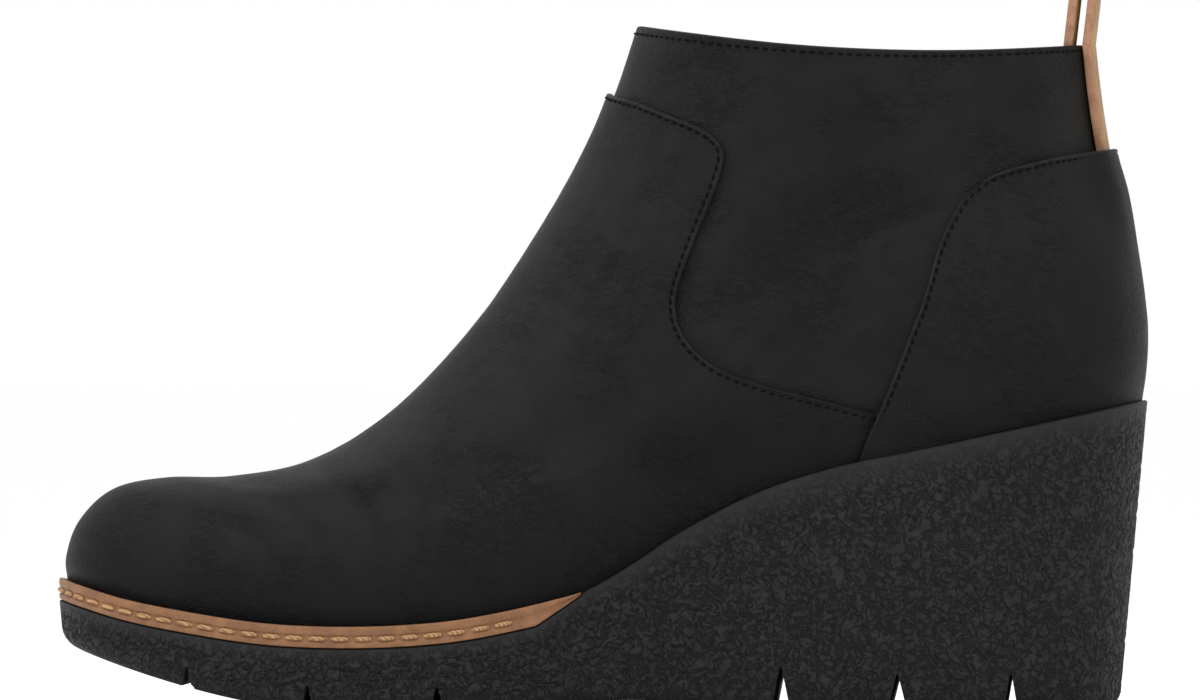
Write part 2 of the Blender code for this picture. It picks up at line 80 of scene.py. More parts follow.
# name, forward, rise, lean, lift, sag, dip, half-widths at 20, 40, 70, 100, 140 and 160 degrees
RINGS = [
    ("feather", 0, 0, 0, 0, 1, 0, 0.42, 0.75, 0.963, 0.965, 0.935, 0.61),
    ("bulge", -0.002, 0.04, -0.071, 0.068, 1, 0, 0.444, 0.789, 1.005, 0.99, 0.965, 0.635),
    ("toe_mid", 0.02, 0.1, -0.116, 0.143, 1, 0, 0.419, 0.766, 1.01, 1.015, 0.985, 0.645),
    ("toe_up", 0.076, 0.152, -0.116, 0.212, 1, 0, 0.36, 0.682, 0.965, 1.025, 0.99, 0.635),
    ("toe_top", 0.166, 0.171, -0.08, 0.268, 1, 0, 0.311, 0.635, 0.907, 1.022, 0.985, 0.617),
    ("vamp_low", 0.284, 0.174, -0.027, 0.33, 0.95, 0, 0.324, 0.661, 0.842, 1.015, 0.972, 0.6),
    ("vamp", 0.429, 0.205, 0.045, 0.393, 0.85, 0, 0.34, 0.653, 0.797, 1.008, 0.955, 0.568),
    ("instep_low", 0.574, 0.296, 0.205, 0.474, 0.7, 0, 0.295, 0.59, 0.791, 1.01, 0.936, 0.527),
    ("instep", 0.718, 0.449, 0.42, 0.568, 0.5, 0, 0.275, 0.548, 0.815, 0.987, 0.887, 0.469),
    ("instep_up", 0.825, 0.607, 0.652, 0.662, 0.3, 0.003, 0.295, 0.59, 0.85, 0.967, 0.846, 0.426),
    ("ankle", 0.913, 0.763, 0.786, 0.762, 0.15, 0.008, 0.326, 0.646, 0.894, 0.95, 0.808, 0.397),
    ("shaft", 0.961, 0.88, 0.902, 0.875, 0.05, 0.015, 0.356, 0.696, 0.945, 0.953, 0.789, 0.391),
    ("collar", 1, 1, 1, 1, 0, 0.022, 0.405, 0.787, 1, 0.973, 0.784, 0.392),
]
WIDTH_ANGLES = (20, 40, 70, 100, 140, 160)
COLLAR_RING = len(RINGS)

# along the length, share of TOE_LIFT, share of the rise from ball to heel
FEATHER = [
    (-0.016, 1.049, 0), (0.008, 0.874, 0), (0.044, 0.631, 0), (0.116, 0.301, 0),
    (0.188, 0.068, 0), (0.25, 0, 0), (0.319, 0, 0.008), (0.362, 0, 0.026),
    (0.418, 0, 0.073), (0.455, 0, 0.115), (0.491, 0, 0.167), (0.533, 0, 0.282),
    (0.569, 0, 0.397), (0.605, 0, 0.494), (0.641, 0, 0.579), (0.706, 0, 0.687),
    (0.807, 0, 0.79), (0.93, 0, 0.917), (1.014, 0, 1.008),
]
# along the length, share of BALL_WIDTH towards the inner side
CENTRE_LINE = [
    (0, 0.062), (0.15, 0.043), (0.28, 0.012), (0.38, -0.018), (0.58, -0.031), (0.8, -0.006), (1, 0),
]

TOE_X = -UPPER_LENGTH / 2
HEEL_X = UPPER_LENGTH / 2
COLLAR_BACK_X = HEEL_X - COLLAR_SETBACK
COLLAR_FRONT_X = COLLAR_BACK_X - COLLAR_LENGTH
WEDGE_RISE = HEEL_HEIGHT - BALL_HEIGHT
TOE_HEIGHT = BALL_HEIGHT + TOE_LIFT
TUCK_NARROWING = 0.985


# %% Reading the last at any angle and height
def hermite(u, span, start, end, start_slope, end_slope):
    """The smooth step between two knots, for a share u of the way."""
    return (
        (1 + 2 * u) * (1 - u) ** 2 * start
        + u**2 * (3 - 2 * u) * end
        + u * (1 - u) ** 2 * span * start_slope
        + u**2 * (u - 1) * span * end_slope
    )


def smooth(knots, values, at):
    """Reads a smooth curve through values at knots; at may be an array."""
    knots = np.asarray(knots, float)
    values = np.asarray(values, float)
    slopes = np.gradient(values, knots, axis=0)
    at = np.clip(np.asarray(at, float), knots[0], knots[-1])
    i = np.clip(np.searchsorted(knots, at, side="right") - 1, 0, len(knots) - 2)
    span = knots[i + 1] - knots[i]
    u = (at - knots[i]) / span
    if values.ndim > 1:
        u, span = u[..., None], span[..., None]
    return hermite(u, span, values[i], values[i + 1], slopes[i], slopes[i + 1])


def read_across(knots, values, at):
    """As smooth, where each place has its own row of values."""
    knots = np.asarray(knots, float)
    slopes = np.gradient(values, knots, axis=-1)
    i = np.clip(np.searchsorted(knots, at, side="right") - 1, 0, len(knots) - 2)
    span = knots[i + 1] - knots[i]
    u = (at - knots[i]) / span
    ends = [(table, i + k) for table in (values, slopes) for k in (0, 1)]
    picked = [np.take_along_axis(table, place[..., None], -1)[..., 0] for table, place in ends]
    return hermite(u, span, *picked)


def feather_height(x):
    """Height of the line where the upper leaves the rubber or the welt."""
    heights = [BALL_HEIGHT + lift * TOE_LIFT + rise * WEDGE_RISE for _, lift, rise in FEATHER]
    return smooth([row[0] for row in FEATHER], heights, (np.asarray(x, float) - TOE_X) / UPPER_LENGTH)


def ring_values():
    """Front, back and half-widths of each ring in metres, with the tucked edge as the first ring."""
    rows = []
    for _, forward, rise, lean, lift, sag, dip, *shares in RINGS:
        ball = (BALL_WIDTH + rise * (COLLAR_WIDTH - BALL_WIDTH)) / 2
        heel = (HEEL_WIDTH + rise * (COLLAR_WIDTH - HEEL_WIDTH)) / 2
        front_height = TOE_HEIGHT + rise * (COLLAR_FRONT_HEIGHT - TOE_HEIGHT)
        front = [TOE_X + forward * (COLLAR_FRONT_X - TOE_X), front_height]
        back = [HEEL_X - lean * COLLAR_SETBACK, HEEL_HEIGHT + lift * (COLLAR_BACK_HEIGHT - HEEL_HEIGHT)]
        widths = [share * ball for share in shares[:3]] + [share * heel for share in shares[3:]]
        rows.append([*front, *back, sag, dip * COLLAR_FRONT_HEIGHT, rise, *widths])
    tucked = list(rows[0])
    tucked[1] -= WELT_HEIGHT
    tucked[3] -= WELT_HEIGHT
    tucked[7:] = [width * TUCK_NARROWING for width in tucked[7:]]
    return np.array([tucked] + rows)


RING_VALUES = ring_values()


def last_point(angle, ring):
    """Points of the upper's form; angles in degrees from the toe, negative on the outer side."""
    angle, ring = np.broadcast_arrays(np.asarray(angle, float), np.asarray(ring, float))
    row = smooth(np.arange(len(RING_VALUES)), RING_VALUES, ring)
    front_x, front_z, back_x, back_z, sag, dip, rise = np.moveaxis(row[..., :7], -1, 0)
    turn = np.abs((angle + 180) % 360 - 180)
    side = np.where(angle % 360 <= 180, 1.0, -1.0)
    share = (1 - np.cos(np.radians(turn))) / 2
    x = front_x + (back_x - front_x) * share
    straight = feather_height(front_x) * (1 - share) + feather_height(back_x) * share
    z = front_z + (back_z - front_z) * share + sag * (feather_height(x) - straight)
    z = z - dip * 4 * share * (1 - share)
    widths = row[..., 7:]
    none = np.zeros_like(widths[..., :1])
    padded = np.concatenate([-widths[..., :1], none, widths, none, -widths[..., -1:]], axis=-1)
    half = read_across([-WIDTH_ANGLES[0], 0, *WIDTH_ANGLES, 180, 360 - WIDTH_ANGLES[-1]], padded, turn)
    along, inwards = zip(*CENTRE_LINE)
    middle = smooth(along, np.array(inwards) * BALL_WIDTH, (x - TOE_X) / UPPER_LENGTH) * (1 - rise)
    return np.stack([x, middle + side * half, z], axis=-1)


def unit(vectors):
    """The vectors at length one."""
    return vectors / np.linalg.norm(vectors, axis=-1, keepdims=True)


NEARBY = 0.05
NEARBY_IN_PLAN = 0.5
FEATHER_RING = 1


def last_normal(angle, ring):
    """Outward unit normals of the upper's form."""
    angle, ring = np.broadcast_arrays(np.asarray(angle, float), np.asarray(ring, float))
    around = last_point(angle + NEARBY, ring) - last_point(angle - NEARBY, ring)
    above, below = np.minimum(ring + NEARBY, COLLAR_RING), np.maximum(ring - NEARBY, 0)
    return unit(np.cross(last_point(angle, above) - last_point(angle, below), around))


def plan_normal(angle):
    """Outward unit normals of the feather line, seen from above."""
    ahead = last_point(np.asarray(angle) + NEARBY_IN_PLAN, FEATHER_RING)
    along = ahead - last_point(np.asarray(angle) - NEARBY_IN_PLAN, FEATHER_RING)
    return unit(np.stack([-along[..., 1], along[..., 0], np.zeros_like(along[..., 0])], axis=-1))


# the frame's own middle may be off the last's, so the upper's box says how far the last moves
around_once = np.arange(0, 360, 6.0)
last_skin = last_point(around_once[:, None], np.arange(COLLAR_RING + 1)).reshape(-1, 3)
last_middle = (last_skin.min(axis=0) + last_skin.max(axis=0)) / 2
upper_middle = np.mean(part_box("upper"), axis=0)
SHIFT = (upper_middle - last_middle) * (1, 1, 0)
print("the last moves by", np.round(SHIFT / MM, 2), "mm to sit in the frame")


# %% [markdown]
# Shader nodes are easier to read as sums. This small class wraps a socket, so that an expression such
# as `0.5 + 0.2 * grain` adds its own Math nodes. Colours are mixed with Mix nodes.

# %% Shader expressions
class Wire:
    """A node's output that can be used in sums."""

    def __init__(self, shader, socket):
        self.shader = shader
        self.socket = socket

    def _math(self, operation, *values):
        return self.shader.node("ShaderNodeMath", {"operation": operation}, *values)

    def __add__(self, other):
        return self._math("ADD", self, other)

    def __sub__(self, other):
        return self._math("SUBTRACT", self, other)

    def __mul__(self, other):
        return self._math("MULTIPLY", self, other)

    def __rsub__(self, other):
        return self._math("SUBTRACT", other, self)

    def clamp(self):
        """The value kept between 0 and 1."""
        return self._math("MAXIMUM", self._math("MINIMUM", self, 1.0), 0.0)

    def absolute(self):
        """The value without its sign."""
        return self._math("ABSOLUTE", self)

    def larger(self, other):
        """The larger of two values."""
        return self._math("MAXIMUM", self, other)

    def band(self, low, high):
        """0 below low, 1 above high and a smooth step between."""
        settings = {"interpolation_type": "SMOOTHSTEP"}
        limits = {"From Min": low, "From Max": high}
        return self.shader.node("ShaderNodeMapRange", settings, Value=self, **limits)

    __radd__ = __add__
    __rmul__ = __mul__


class Finish:
    """A material in the making: one method adds any node and returns its output."""

    def __init__(self, name):
        self.material = bpy.data.materials.new(name)
        self.material.use_nodes = True
        self.tree = self.material.node_tree
        self.surface = self.tree.nodes["Principled BSDF"]

    def node(self, kind, settings=None, *values, output=0, **named):
        """Adds a node, with its settings first and then the values or links of its sockets."""
        made = self.tree.nodes.new(kind)
        for key, value in (settings or {}).items():
            setattr(made, key, value)
        for key, value in [*enumerate(values), *named.items()]:
            self.plug(made.inputs[key], value)
        return Wire(self, made.outputs[output])

    def plug(self, socket, value):
        """Links a wire to a socket, or sets the socket's own value."""
        if isinstance(value, Wire):
            self.tree.links.new(value.socket, socket)
        elif value is not None:
            socket.default_value = value

    def place(self, turn=(0, 0, 0), stretch=(1, 1, 1)):
        """Object coordinates in millimetres, stretched and turned for a pattern."""
        coordinates = self.node("ShaderNodeTexCoord", output="Object")
        scales = tuple(share / MM for share in stretch)
        return self.node("ShaderNodeMapping", None, Vector=coordinates, Rotation=turn, Scale=scales)

    def noise(self, scale, detail=3.0, roughness=0.5, distortion=0.0, **mapping):
        """Noise with features about 1 / scale millimetres across."""
        settings = {"noise_dimensions": "3D"}
        values = {"Scale": scale, "Detail": detail, "Roughness": roughness, "Distortion": distortion}
        return self.node("ShaderNodeTexNoise", settings, Vector=self.place(**mapping), **values)

    def cells(self, scale):
        """How far a place is from the borders of cells about 1 / scale millimetres across."""
        settings = {"feature": "DISTANCE_TO_EDGE"}
        return self.node("ShaderNodeTexVoronoi", settings, Vector=self.place(), Scale=scale)

    def mix(self, factor, first, second):
        """A colour between two colours; the Mix node keeps its colour sockets after its other ones."""
        colors = [color if isinstance(color, Wire) else (*color, 1.0) for color in (first, second)]
        sockets = (factor, None, None, None, None, None, *colors)
        return self.node("ShaderNodeMix", {"data_type": "RGBA"}, *sockets, output=2)

    def attribute(self, name):
        """A number stored on the mesh's vertices."""
        return self.node("ShaderNodeAttribute", {"attribute_name": name}, output="Fac")

    def bump(self, height, distance):
        """A normal bent by a height, which is times a distance in millimetres."""
        return self.node("ShaderNodeBump", None, Distance=distance * MM, Height=height)

    def finish(self, **sockets):
        """Sets the surface's sockets by name and returns the material."""
        for key, value in sockets.items():
            self.plug(self.surface.inputs[key.replace("_", " ")], value)
        return self.material


# %% [markdown]
# The leather of this boot is a smooth black hide with a fine pebbled grain and a soft shine. The
# shine is uneven, because hands and feet have rubbed it, so roughness follows a slow noise. Patches
# of fine wrinkles are the places where a noise passes its middle value, which draws winding lines.
# The sole is crepe rubber, and its short cracks are drawn the same way; cracks and troughs are darkened
# as painted shade. Its larger swells are real relief, made with the mesh further on. Creases, edges paled
# by wear, a painted highlight on the instep and painted shade at the sole and the heel are numbers on
# the vertices, which the finish reads as attributes. The creases are darkened as painted shade too.

# %% Finishes of leather, rubber and thread
LEATHER_ROUGHNESS = 0.50
# how much paler wear and the painted instep highlight make the leather, and how dark its painted shade is
WEAR_AND_HIGHLIGHT_PALENESS = 2.6
DARK_SHADE = 0.35
# how thick the lines of wrinkles and cracks are, as a noise's distance from its middle value
WRINKLE_LINE = (0.0, 0.09)
CRACK_LINE = (0.020, 0.075)
CROSSING_LINE = (0.020, 0.070)
# the colour of the painted shade in the rubber's cracks
CRACK_PAINTED_SHADE = (0.0032, 0.0032, 0.0034)


def shaded(color, times):
    """A colour made darker or lighter."""
    return tuple(times * value for value in color)


def leather_finish(name, deep, pale, grain):
    """Black leather: grain, fine creases, slow changes of shine, edges paled by wear, a painted highlight on
    the instep, and painted shade in creases, at the sole and at the heel.
    """
    hide = Finish(name)
    slow = hide.noise(0.03, detail=4.0, roughness=0.6)
    cloudy = hide.noise(0.16, detail=5.0, roughness=0.65)
    pores = hide.cells(1.5)
    veins = hide.noise(0.42, detail=6.0, roughness=0.7, distortion=0.8)
    worn = hide.attribute("worn")
    crease = hide.attribute("crease")
    burnish = hide.attribute("burnish")
    shade = (0.55 * slow + 0.45 * cloudy).band(0.28, 0.72)
    color = hide.mix(shade, deep, pale)
    # paler where panel edges and the collar show wear, and a painted highlight on the instep
    color = hide.mix((0.75 * worn * cloudy.band(0.05, 0.80)).clamp(), color, shaded(pale, WEAR_AND_HIGHLIGHT_PALENESS))
    # painted shade: the colour darkens in the fold troughs, near the sole and at the back of the heel
    color = hide.mix((0.5 * crease + 0.85 * burnish).clamp(), color, shaded(deep, DARK_SHADE))
    shine = LEATHER_ROUGHNESS + 0.14 * (cloudy - 0.5) + 0.10 * (slow - 0.5) - 0.05 * worn + 0.06 * crease
    wander = hide.noise(0.34, 3.0, 0.6, distortion=1.1, turn=(0.3, 0.5, 0.2), stretch=(1, 1, 1.7))
    wrinkle = 1 - (wander - 0.5).absolute().band(*WRINKLE_LINE)
    patches = hide.noise(0.055, detail=2.0, turn=(0.7, 0.2, 0.4)).band(0.42, 0.60)
    height = 0.3 * pores.band(0.0, 0.25) + 0.5 * veins - 0.9 * (wrinkle * (patches + 1.2 * crease).clamp())
    return hide.finish(
        Base_Color=color,
        Roughness=shine.clamp(),
        Normal=hide.bump(height, grain),
        Specular_IOR_Level=0.08,
    )


def rubber_finish():
    """Black crepe rubber: short winding cracks between low swells, and a smooth border; the cracks and the
    troughs of the swells are darkened as painted shade.
    """
    rubber = Finish("black_crepe_rubber")
    relief = rubber.attribute("relief")
    crepe_share = rubber.attribute("crepe")
    winding = rubber.noise(0.50, detail=1.0, roughness=0.4, distortion=0.5)
    crossing = rubber.noise(0.46, detail=1.0, roughness=0.4, distortion=0.6, turn=(0.9, 0.4, 1.3))
    breaks = rubber.noise(0.36, detail=1.0, turn=(0.2, 1.1, 0.5))
    first = (1 - (winding - 0.5).absolute().band(*CRACK_LINE)) * breaks.band(0.40, 0.48)
    second = (1 - (crossing - 0.5).absolute().band(*CROSSING_LINE)) * (1 - breaks.band(0.50, 0.58))
    swell = (winding - 0.5).absolute().band(0.0, 0.20)
    crack = first.larger(second) * crepe_share
    dust = rubber.noise(0.25, detail=5.0, roughness=0.7)
    fine = rubber.noise(1.8, detail=4.0, roughness=0.6)
    top = rubber.mix(dust.band(0.35, 0.7), (0.0105, 0.0105, 0.0109), (0.0165, 0.0165, 0.0172))
    # painted shade: the cracks, and the troughs between the relief's swells, are darkened
    color = rubber.mix((0.62 * crack + 0.2 * (1 - relief)).clamp(), top, CRACK_PAINTED_SHADE)
    shine = 0.60 + 0.14 * (dust - 0.5) + 0.15 * crack
    height = 0.2 * fine + 0.7 * (swell * crepe_share) - crack
    return rubber.finish(
        Base_Color=color, Roughness=shine.clamp(), Normal=rubber.bump(height, 0.48), Specular_IOR_Level=0.2
    )


def thread_finish(name, color):
    """Sewing thread: fine slanting twists."""
    thread = Finish(name)
    twist = thread.node(
        "ShaderNodeTexWave",
        {"wave_type": "BANDS", "bands_direction": "DIAGONAL"},
        Vector=thread.place(),
        Scale=0.55,
        Distortion=1.5,
        Detail=1.0,
    )
    shade = thread.mix(twist, shaded(color, 0.6), shaded(color, 1.25))
    return thread.finish(
        Base_Color=shade, Roughness=0.85, Normal=thread.bump(twist, 0.08), Specular_IOR_Level=0.1
    )


def tan_finish(name, deep, pale, roughness=0.55, scale=1.0):
    """Tan vegetable leather: fibres, blotches and a rubbed shine."""
    hide = Finish(name)
    blotch = hide.noise(0.22 * scale, detail=5.0, roughness=0.65)
    fibre = hide.noise(2.2 * scale, detail=4.0, roughness=0.7, stretch=(0.6, 1.0, 1.6))
    color = hide.mix((0.65 * blotch + 0.35 * fibre).band(0.35, 0.65), deep, pale)
    shine = roughness + 0.25 * (fibre - 0.5)
    return hide.finish(Base_Color=color, Roughness=shine.clamp(), Normal=hide.bump(fibre, 0.12))


vamp_leather = leather_finish("vamp_leather", (0.0065, 0.0065, 0.0068), (0.0107, 0.0106, 0.0109), 0.20)
# The quarter and counter get paler copies of the vamp's black leather colours, as painted light.
quarter_leather_painted_light = leather_finish("quarter_leather_painted_light", (0.0072, 0.0071, 0.0067), (0.0130, 0.0128, 0.0122), 0.22)
counter_leather_painted_light = leather_finish("counter_leather_painted_light", (0.0080, 0.0079, 0.0078), (0.0132, 0.0130, 0.0130), 0.22)
crepe_rubber = rubber_finish()
black_thread = thread_finish("black_thread", (0.0010, 0.0010, 0.0011))
tan_thread = thread_finish("tan_thread", (0.38, 0.22, 0.11))
welt_leather = tan_finish("welt_leather", (0.150, 0.060, 0.020), (0.240, 0.106, 0.038))
strap_leather = tan_finish("strap_leather", (0.24, 0.120, 0.036), (0.36, 0.200, 0.070))
strap_edge = tan_finish("strap_cut_edge", (0.28, 0.130, 0.070), (0.44, 0.235, 0.145), 0.8, 1.6)
lining_leather = tan_finish("lining_leather", (0.075, 0.052, 0.036), (0.13, 0.095, 0.068), 0.7)


# %% [markdown]
# Leather pieces, the rubber and the welt are all sheets over the last, so one helper makes them: a
# Blender grid whose two directions become two shares from 0 to 1, and whose vertices then move to the
# places that a function gives. Doubled vertices are merged, for rows that close round the ankle.
# Numbers such as wear or relief are kept on the vertices, for the finish to read.

# %% Sheets moved to their places
MERGE = 2e-5


def sheet(name, columns, rows, place, merge=MERGE):
    """A grid of shares moved to place(u, v), which gives points and a dictionary of vertex numbers."""
    grid = bmesh.new()
    bmesh.ops.create_grid(grid, x_segments=columns, y_segments=rows, size=0.5)
    shares = np.array([vertex.co for vertex in grid.verts])[:, :2] + 0.5
    points, numbers = place(shares[:, 0], shares[:, 1])
    for key, values in numbers.items():
        layer = grid.verts.layers.float.new(key)
        for vertex, value in zip(grid.verts, values.tolist()):
            vertex[layer] = value
    for vertex, point in zip(grid.verts, (points + SHIFT).tolist()):
        vertex.co = point
    bmesh.ops.remove_doubles(grid, verts=grid.verts, dist=merge)
    bmesh.ops.reverse_faces(grid, faces=grid.faces)
    return as_object(name, grid)


def as_object(name, made, sharp=60):
    """The object of a finished bmesh, shaded smooth but for its sharp edges."""
    mesh = bpy.data.meshes.new(name)
    made.to_mesh(mesh)
    made.free()
    mesh.shade_smooth()
    mesh.set_sharp_from_angle(angle=math.radians(sharp))
    piece = bpy.data.objects.new(name, mesh)
    bpy.context.scene.collection.objects.link(piece)
    return piece


def dress(piece, finishes, slot, *nodes):
    """Gives a piece its finishes, lets it ride, and hides the solids it stands for; the slot is not used."""
    for finish in finishes:
        piece.data.materials.append(finish)
    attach(piece, "root")
    if nodes:
        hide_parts(*nodes)
    return piece


def wall(piece, thickness, side=-1, **settings):
    """Thickens a sheet: side -1 is inwards and 0 is to both sides."""
    solid = piece.modifiers.new("wall", "SOLIDIFY")
    solid.thickness = thickness
    solid.offset = side
    solid.use_even_offset = True
    for key, value in settings.items():
        setattr(solid, key, value)


# %% [markdown]
# Worn leather keeps its folds. The main ones are placed, as a seamstress would chalk them, on the side
# view in millimetres from the middle of the boot and above the floor. A trough is a smooth dip along its
# line, with a low ridge where the leather is pushed up beside it. The inner side gets the same folds a
# little lower, because both sides of a boot bend at the same places.

# %% The main folds
# width, depth and ridge in mm, then the points (x, z) of the line
FOLDS = [
    (9.0, -1.1, 0.0, [(81, 117), (62, 112), (43, 104), (28, 94)]),
    (7.0, 0.7, 0.0, [(84, 108), (64, 101), (46, 92), (32, 82)]),
    (2.0, -0.45, 0.2, [(78, 113), (66, 109), (55, 103)]),
    (1.6, -0.40, 0.2, [(70, 103), (58, 98), (47, 90)]),
    (1.8, -0.35, 0.2, [(60, 92), (49, 87), (38, 79), (30, 72)]),
    (1.5, -0.30, 0.15, [(74, 94), (63, 90), (52, 83)]),
    (8.0, -0.9, 0.0, [(36, 66), (27, 60), (16, 57), (4, 58)]),
    (6.0, 0.6, 0.0, [(-6, 82), (-14, 68), (-26, 56), (-42, 48)]),
    (2.2, -0.6, 0.35, [(-84, 42), (-76, 38), (-70, 32), (-67, 26)]),
    (2.0, -0.5, 0.3, [(-74, 47), (-66, 42), (-60, 35), (-58, 28)]),
    (2.4, -0.7, 0.4, [(-62, 53), (-54, 47), (-48, 40), (-47, 31)]),
    (1.8, -0.4, 0.3, [(-50, 58), (-43, 52), (-38, 45), (-37, 37)]),
    (1.6, -0.4, 0.25, [(-8, 112), (0, 109), (8, 103)]),
    (1.5, -0.35, 0.2, [(-12, 104), (-4, 101), (4, 95)]),
    (1.8, -0.45, 0.3, [(-18, 94), (-9, 91), (0, 85)]),
    (1.8, -0.45, 0.3, [(-24, 83), (-15, 81), (-6, 75)]),
    (7.0, 0.6, 0.0, [(-1, 124), (6, 116), (12, 107)]),
]
FOLD_STRENGTH = 0.45
INNER_DROP = 3.5


def bell(distance):
    """1 at no distance, and a smooth fall to 0."""
    return np.exp(-(distance**2))


def turn_of(angle):
    """The angle from the toe on either side, up to 180 degrees at the heel."""
    return np.abs((angle + 180) % 360 - 180)


def share_of(value):
    """The value kept between 0 and 1."""
    return np.clip(value, 0, 1)


def ease(value):
    """The value kept between 0 and 1, with a smooth start and end."""
    share = share_of(value)
    return share**2 * (3 - 2 * share)


def fold_heights(points):
    """How far the folds push the leather out, in metres, at points of the raw last."""
    seen = (points + SHIFT) / MM
    inner = seen[:, 1] > 0
    flat = np.stack([seen[:, 0], seen[:, 2] + INNER_DROP * inner], axis=1)
    total = np.zeros(len(points))
    for width, depth, ridge, line in FOLDS:
        line = np.array(line, float)
        steps = np.linspace(0, len(line) - 1, 12 * len(line))
        curve = smooth(np.arange(len(line)), line, steps)
        near = flat[:, None, :] - curve[None, :, :]
        gaps = np.hypot(near[..., 0], near[..., 1])
        nearest = gaps.argmin(axis=1)
        distance = gaps.min(axis=1)
        ends = 1 - np.abs(2 * nearest / (len(curve) - 1) - 1)
        taper = np.clip(ends * 2.2, 0.15, 1) ** 0.5
        total += taper * depth * bell(distance / width)
        total += taper * ridge * bell((distance - 1.9 * width) / (0.8 * width))
    return total * FOLD_STRENGTH * MM


# painted shade darkens the leather near the sole and at the heel, and a painted highlight makes the instep
# paler
SOLE_SHADE_REACH = 0.009
BACK_SHADE_STRENGTH = 0.6
BACK_FROM, BACK_FADE = 138, 30
INSTEP_HIGHLIGHT = 0.5
INSTEP_HIGHLIGHT_RING, INSTEP_HIGHLIGHT_HEIGHT = 9.5, 2.2
INSTEP_HIGHLIGHT_TURN = 62
DEEP_CREASE = 0.8


def wear_and_painted_light(angle, ring, folds, worn):
    """The numbers that the leather's finish reads: creases, edges paled by wear, a painted highlight on the
    instep, and painted shade at the sole and the heel.
    """
    above = last_point(angle, ring)
    height = above[:, 2] - feather_height(above[:, 0])
    # painted shade, darkest at the sole and fading upwards
    burnish = np.exp(-np.clip(height, 0, None) / SOLE_SHADE_REACH)
    turn = turn_of(angle)
    # a painted highlight on the instep, joined to the paler wear of the edges
    instep = bell((ring - INSTEP_HIGHLIGHT_RING) / INSTEP_HIGHLIGHT_HEIGHT) * np.exp(-((turn / INSTEP_HIGHLIGHT_TURN) ** 4))
    worn = np.maximum(worn, INSTEP_HIGHLIGHT * instep)
    # painted shade at the back of the heel
    burnish = np.maximum(burnish, BACK_SHADE_STRENGTH * ease((turn - BACK_FROM) / BACK_FADE))
    return {"crease": share_of(-folds / MM / DEEP_CREASE), "worn": worn, "burnish": burnish}


def skin_point(angle, ring, stand, share):
    """A point of the leather at a height over the last, with a share of its folds."""
    base = last_point(angle, ring)
    folds = fold_heights(base) * share
    return base + last_normal(angle, ring) * (stand + folds)[:, None], folds


# %% [markdown]
# The quarters are the two sides of the shaft, under the vamp and the counter. On a real boot they are
# cut flat and closed over the last. Here they are one closed skin round the last, fine where it shows
# and coarse where panels cover it. The collar's edge is turned in: its last rows roll over and down.

# %% Quarters and lining
QUARTER_KNOTS = [(0.0, -180), (0.16, -128), (0.45, -55), (0.5, 0), (0.55, 55), (0.84, 128), (1.0, 180)]
OUTER_LEATHER = 0.0011
COLLAR_TURN = 0.0009
COLLAR_ROLL = 0.055
FOLD_FREE = 0.8
LINING_START, LINING_STOP = 0.3, 0.04
LINING_GAP = 0.00012


def fold_share(ring):
    """No folds at the sole and at the collar, where the leather is held."""
    return share_of((COLLAR_RING - ring) / FOLD_FREE) * share_of((ring - FEATHER_RING) / FOLD_FREE)


def spread(knots, share):
    """A share between 0 and 1 read through straight stretches, for close and loose columns."""
    places, values = zip(*knots)
    return np.interp(share, places, values)


def quarter_place(u, v):
    """Columns round the ankle, and rows from the tucked edge to the turned collar."""
    angle = spread(QUARTER_KNOTS, u)
    ring = spread([(0, 0), (0.05, 1.0), (0.97, 12.93), (1.0, COLLAR_RING)], v)
    over = share_of((ring - (COLLAR_RING - COLLAR_ROLL)) / COLLAR_ROLL)
    points, folds = skin_point(angle, ring, -COLLAR_TURN * (1 - np.sqrt(1 - over**2)), fold_share(ring))
    return points, wear_and_painted_light(angle, ring, folds, 0.4 * over)


quarter = sheet("quarter", 300, 150, quarter_place)
wall(quarter, OUTER_LEATHER)
dress(quarter, [quarter_leather_painted_light], "black_leather", "upper")


def lining_place(u, v):
    """The lining lies inside the leather and ends just under the turned collar."""
    angle = 360 * u - 180
    ring = LINING_START + v * (COLLAR_RING - LINING_STOP - LINING_START)
    return last_point(angle, ring) - last_normal(angle, ring) * (OUTER_LEATHER + LINING_GAP), {}


lining = sheet("lining", 120, 60, lining_place)
wall(lining, WALL - OUTER_LEATHER - LINING_GAP)
dress(lining, [lining_leather], "lining", "upper")
print("quarter and lining:", len(quarter.data.polygons) + len(lining.data.polygons), "faces")

# %% [markdown]
# The vamp covers toe and instep, and the counter cups the heel. Each has curved edges, so its grid is
# stretched between them: one share runs from side seam to side seam and the other from the sole up
# to the top seam, whatever the height of that seam. The edge of a real panel is turned under and
# hammered flat, so it rolls down to the leather below over about a millimetre, with a faint ridge.

# %% Edges of the panels
VAMP_SIDE = [
    (0, 128.5), (1, 128.5), (1.6, 128), (2.23, 124.6), (2.47, 122.5), (2.7, 120.3),
    (2.93, 118.2), (3.18, 116.1), (3.45, 113.9), (3.73, 111.7), (4.05, 109.3), (4.44, 106.7),
    (4.94, 103.7), (5.54, 100.1), (6.13, 96), (6.74, 91.1), (7.27, 86.3), (7.7, 81.9),
    (8.07, 77.9), (8.38, 74.5), (8.65, 71.9), (8.89, 70.3), (9.12, 69.3), (9.36, 68.5),
    (9.58, 68), (9.81, 67.6), (10.04, 67.2), (10.27, 66.7), (10.5, 66), (10.75, 65.1),
    (10.9, 64.1), (11.03, 62.4),
]
VAMP_TOP = [
    (0, 11.95), (0.164, 11.92), (0.389, 11.86), (0.526, 11.79), (0.634, 11.69), (0.729, 11.58),
    (0.815, 11.47), (0.894, 11.34), (0.968, 11.15), (1, 11.03),
]
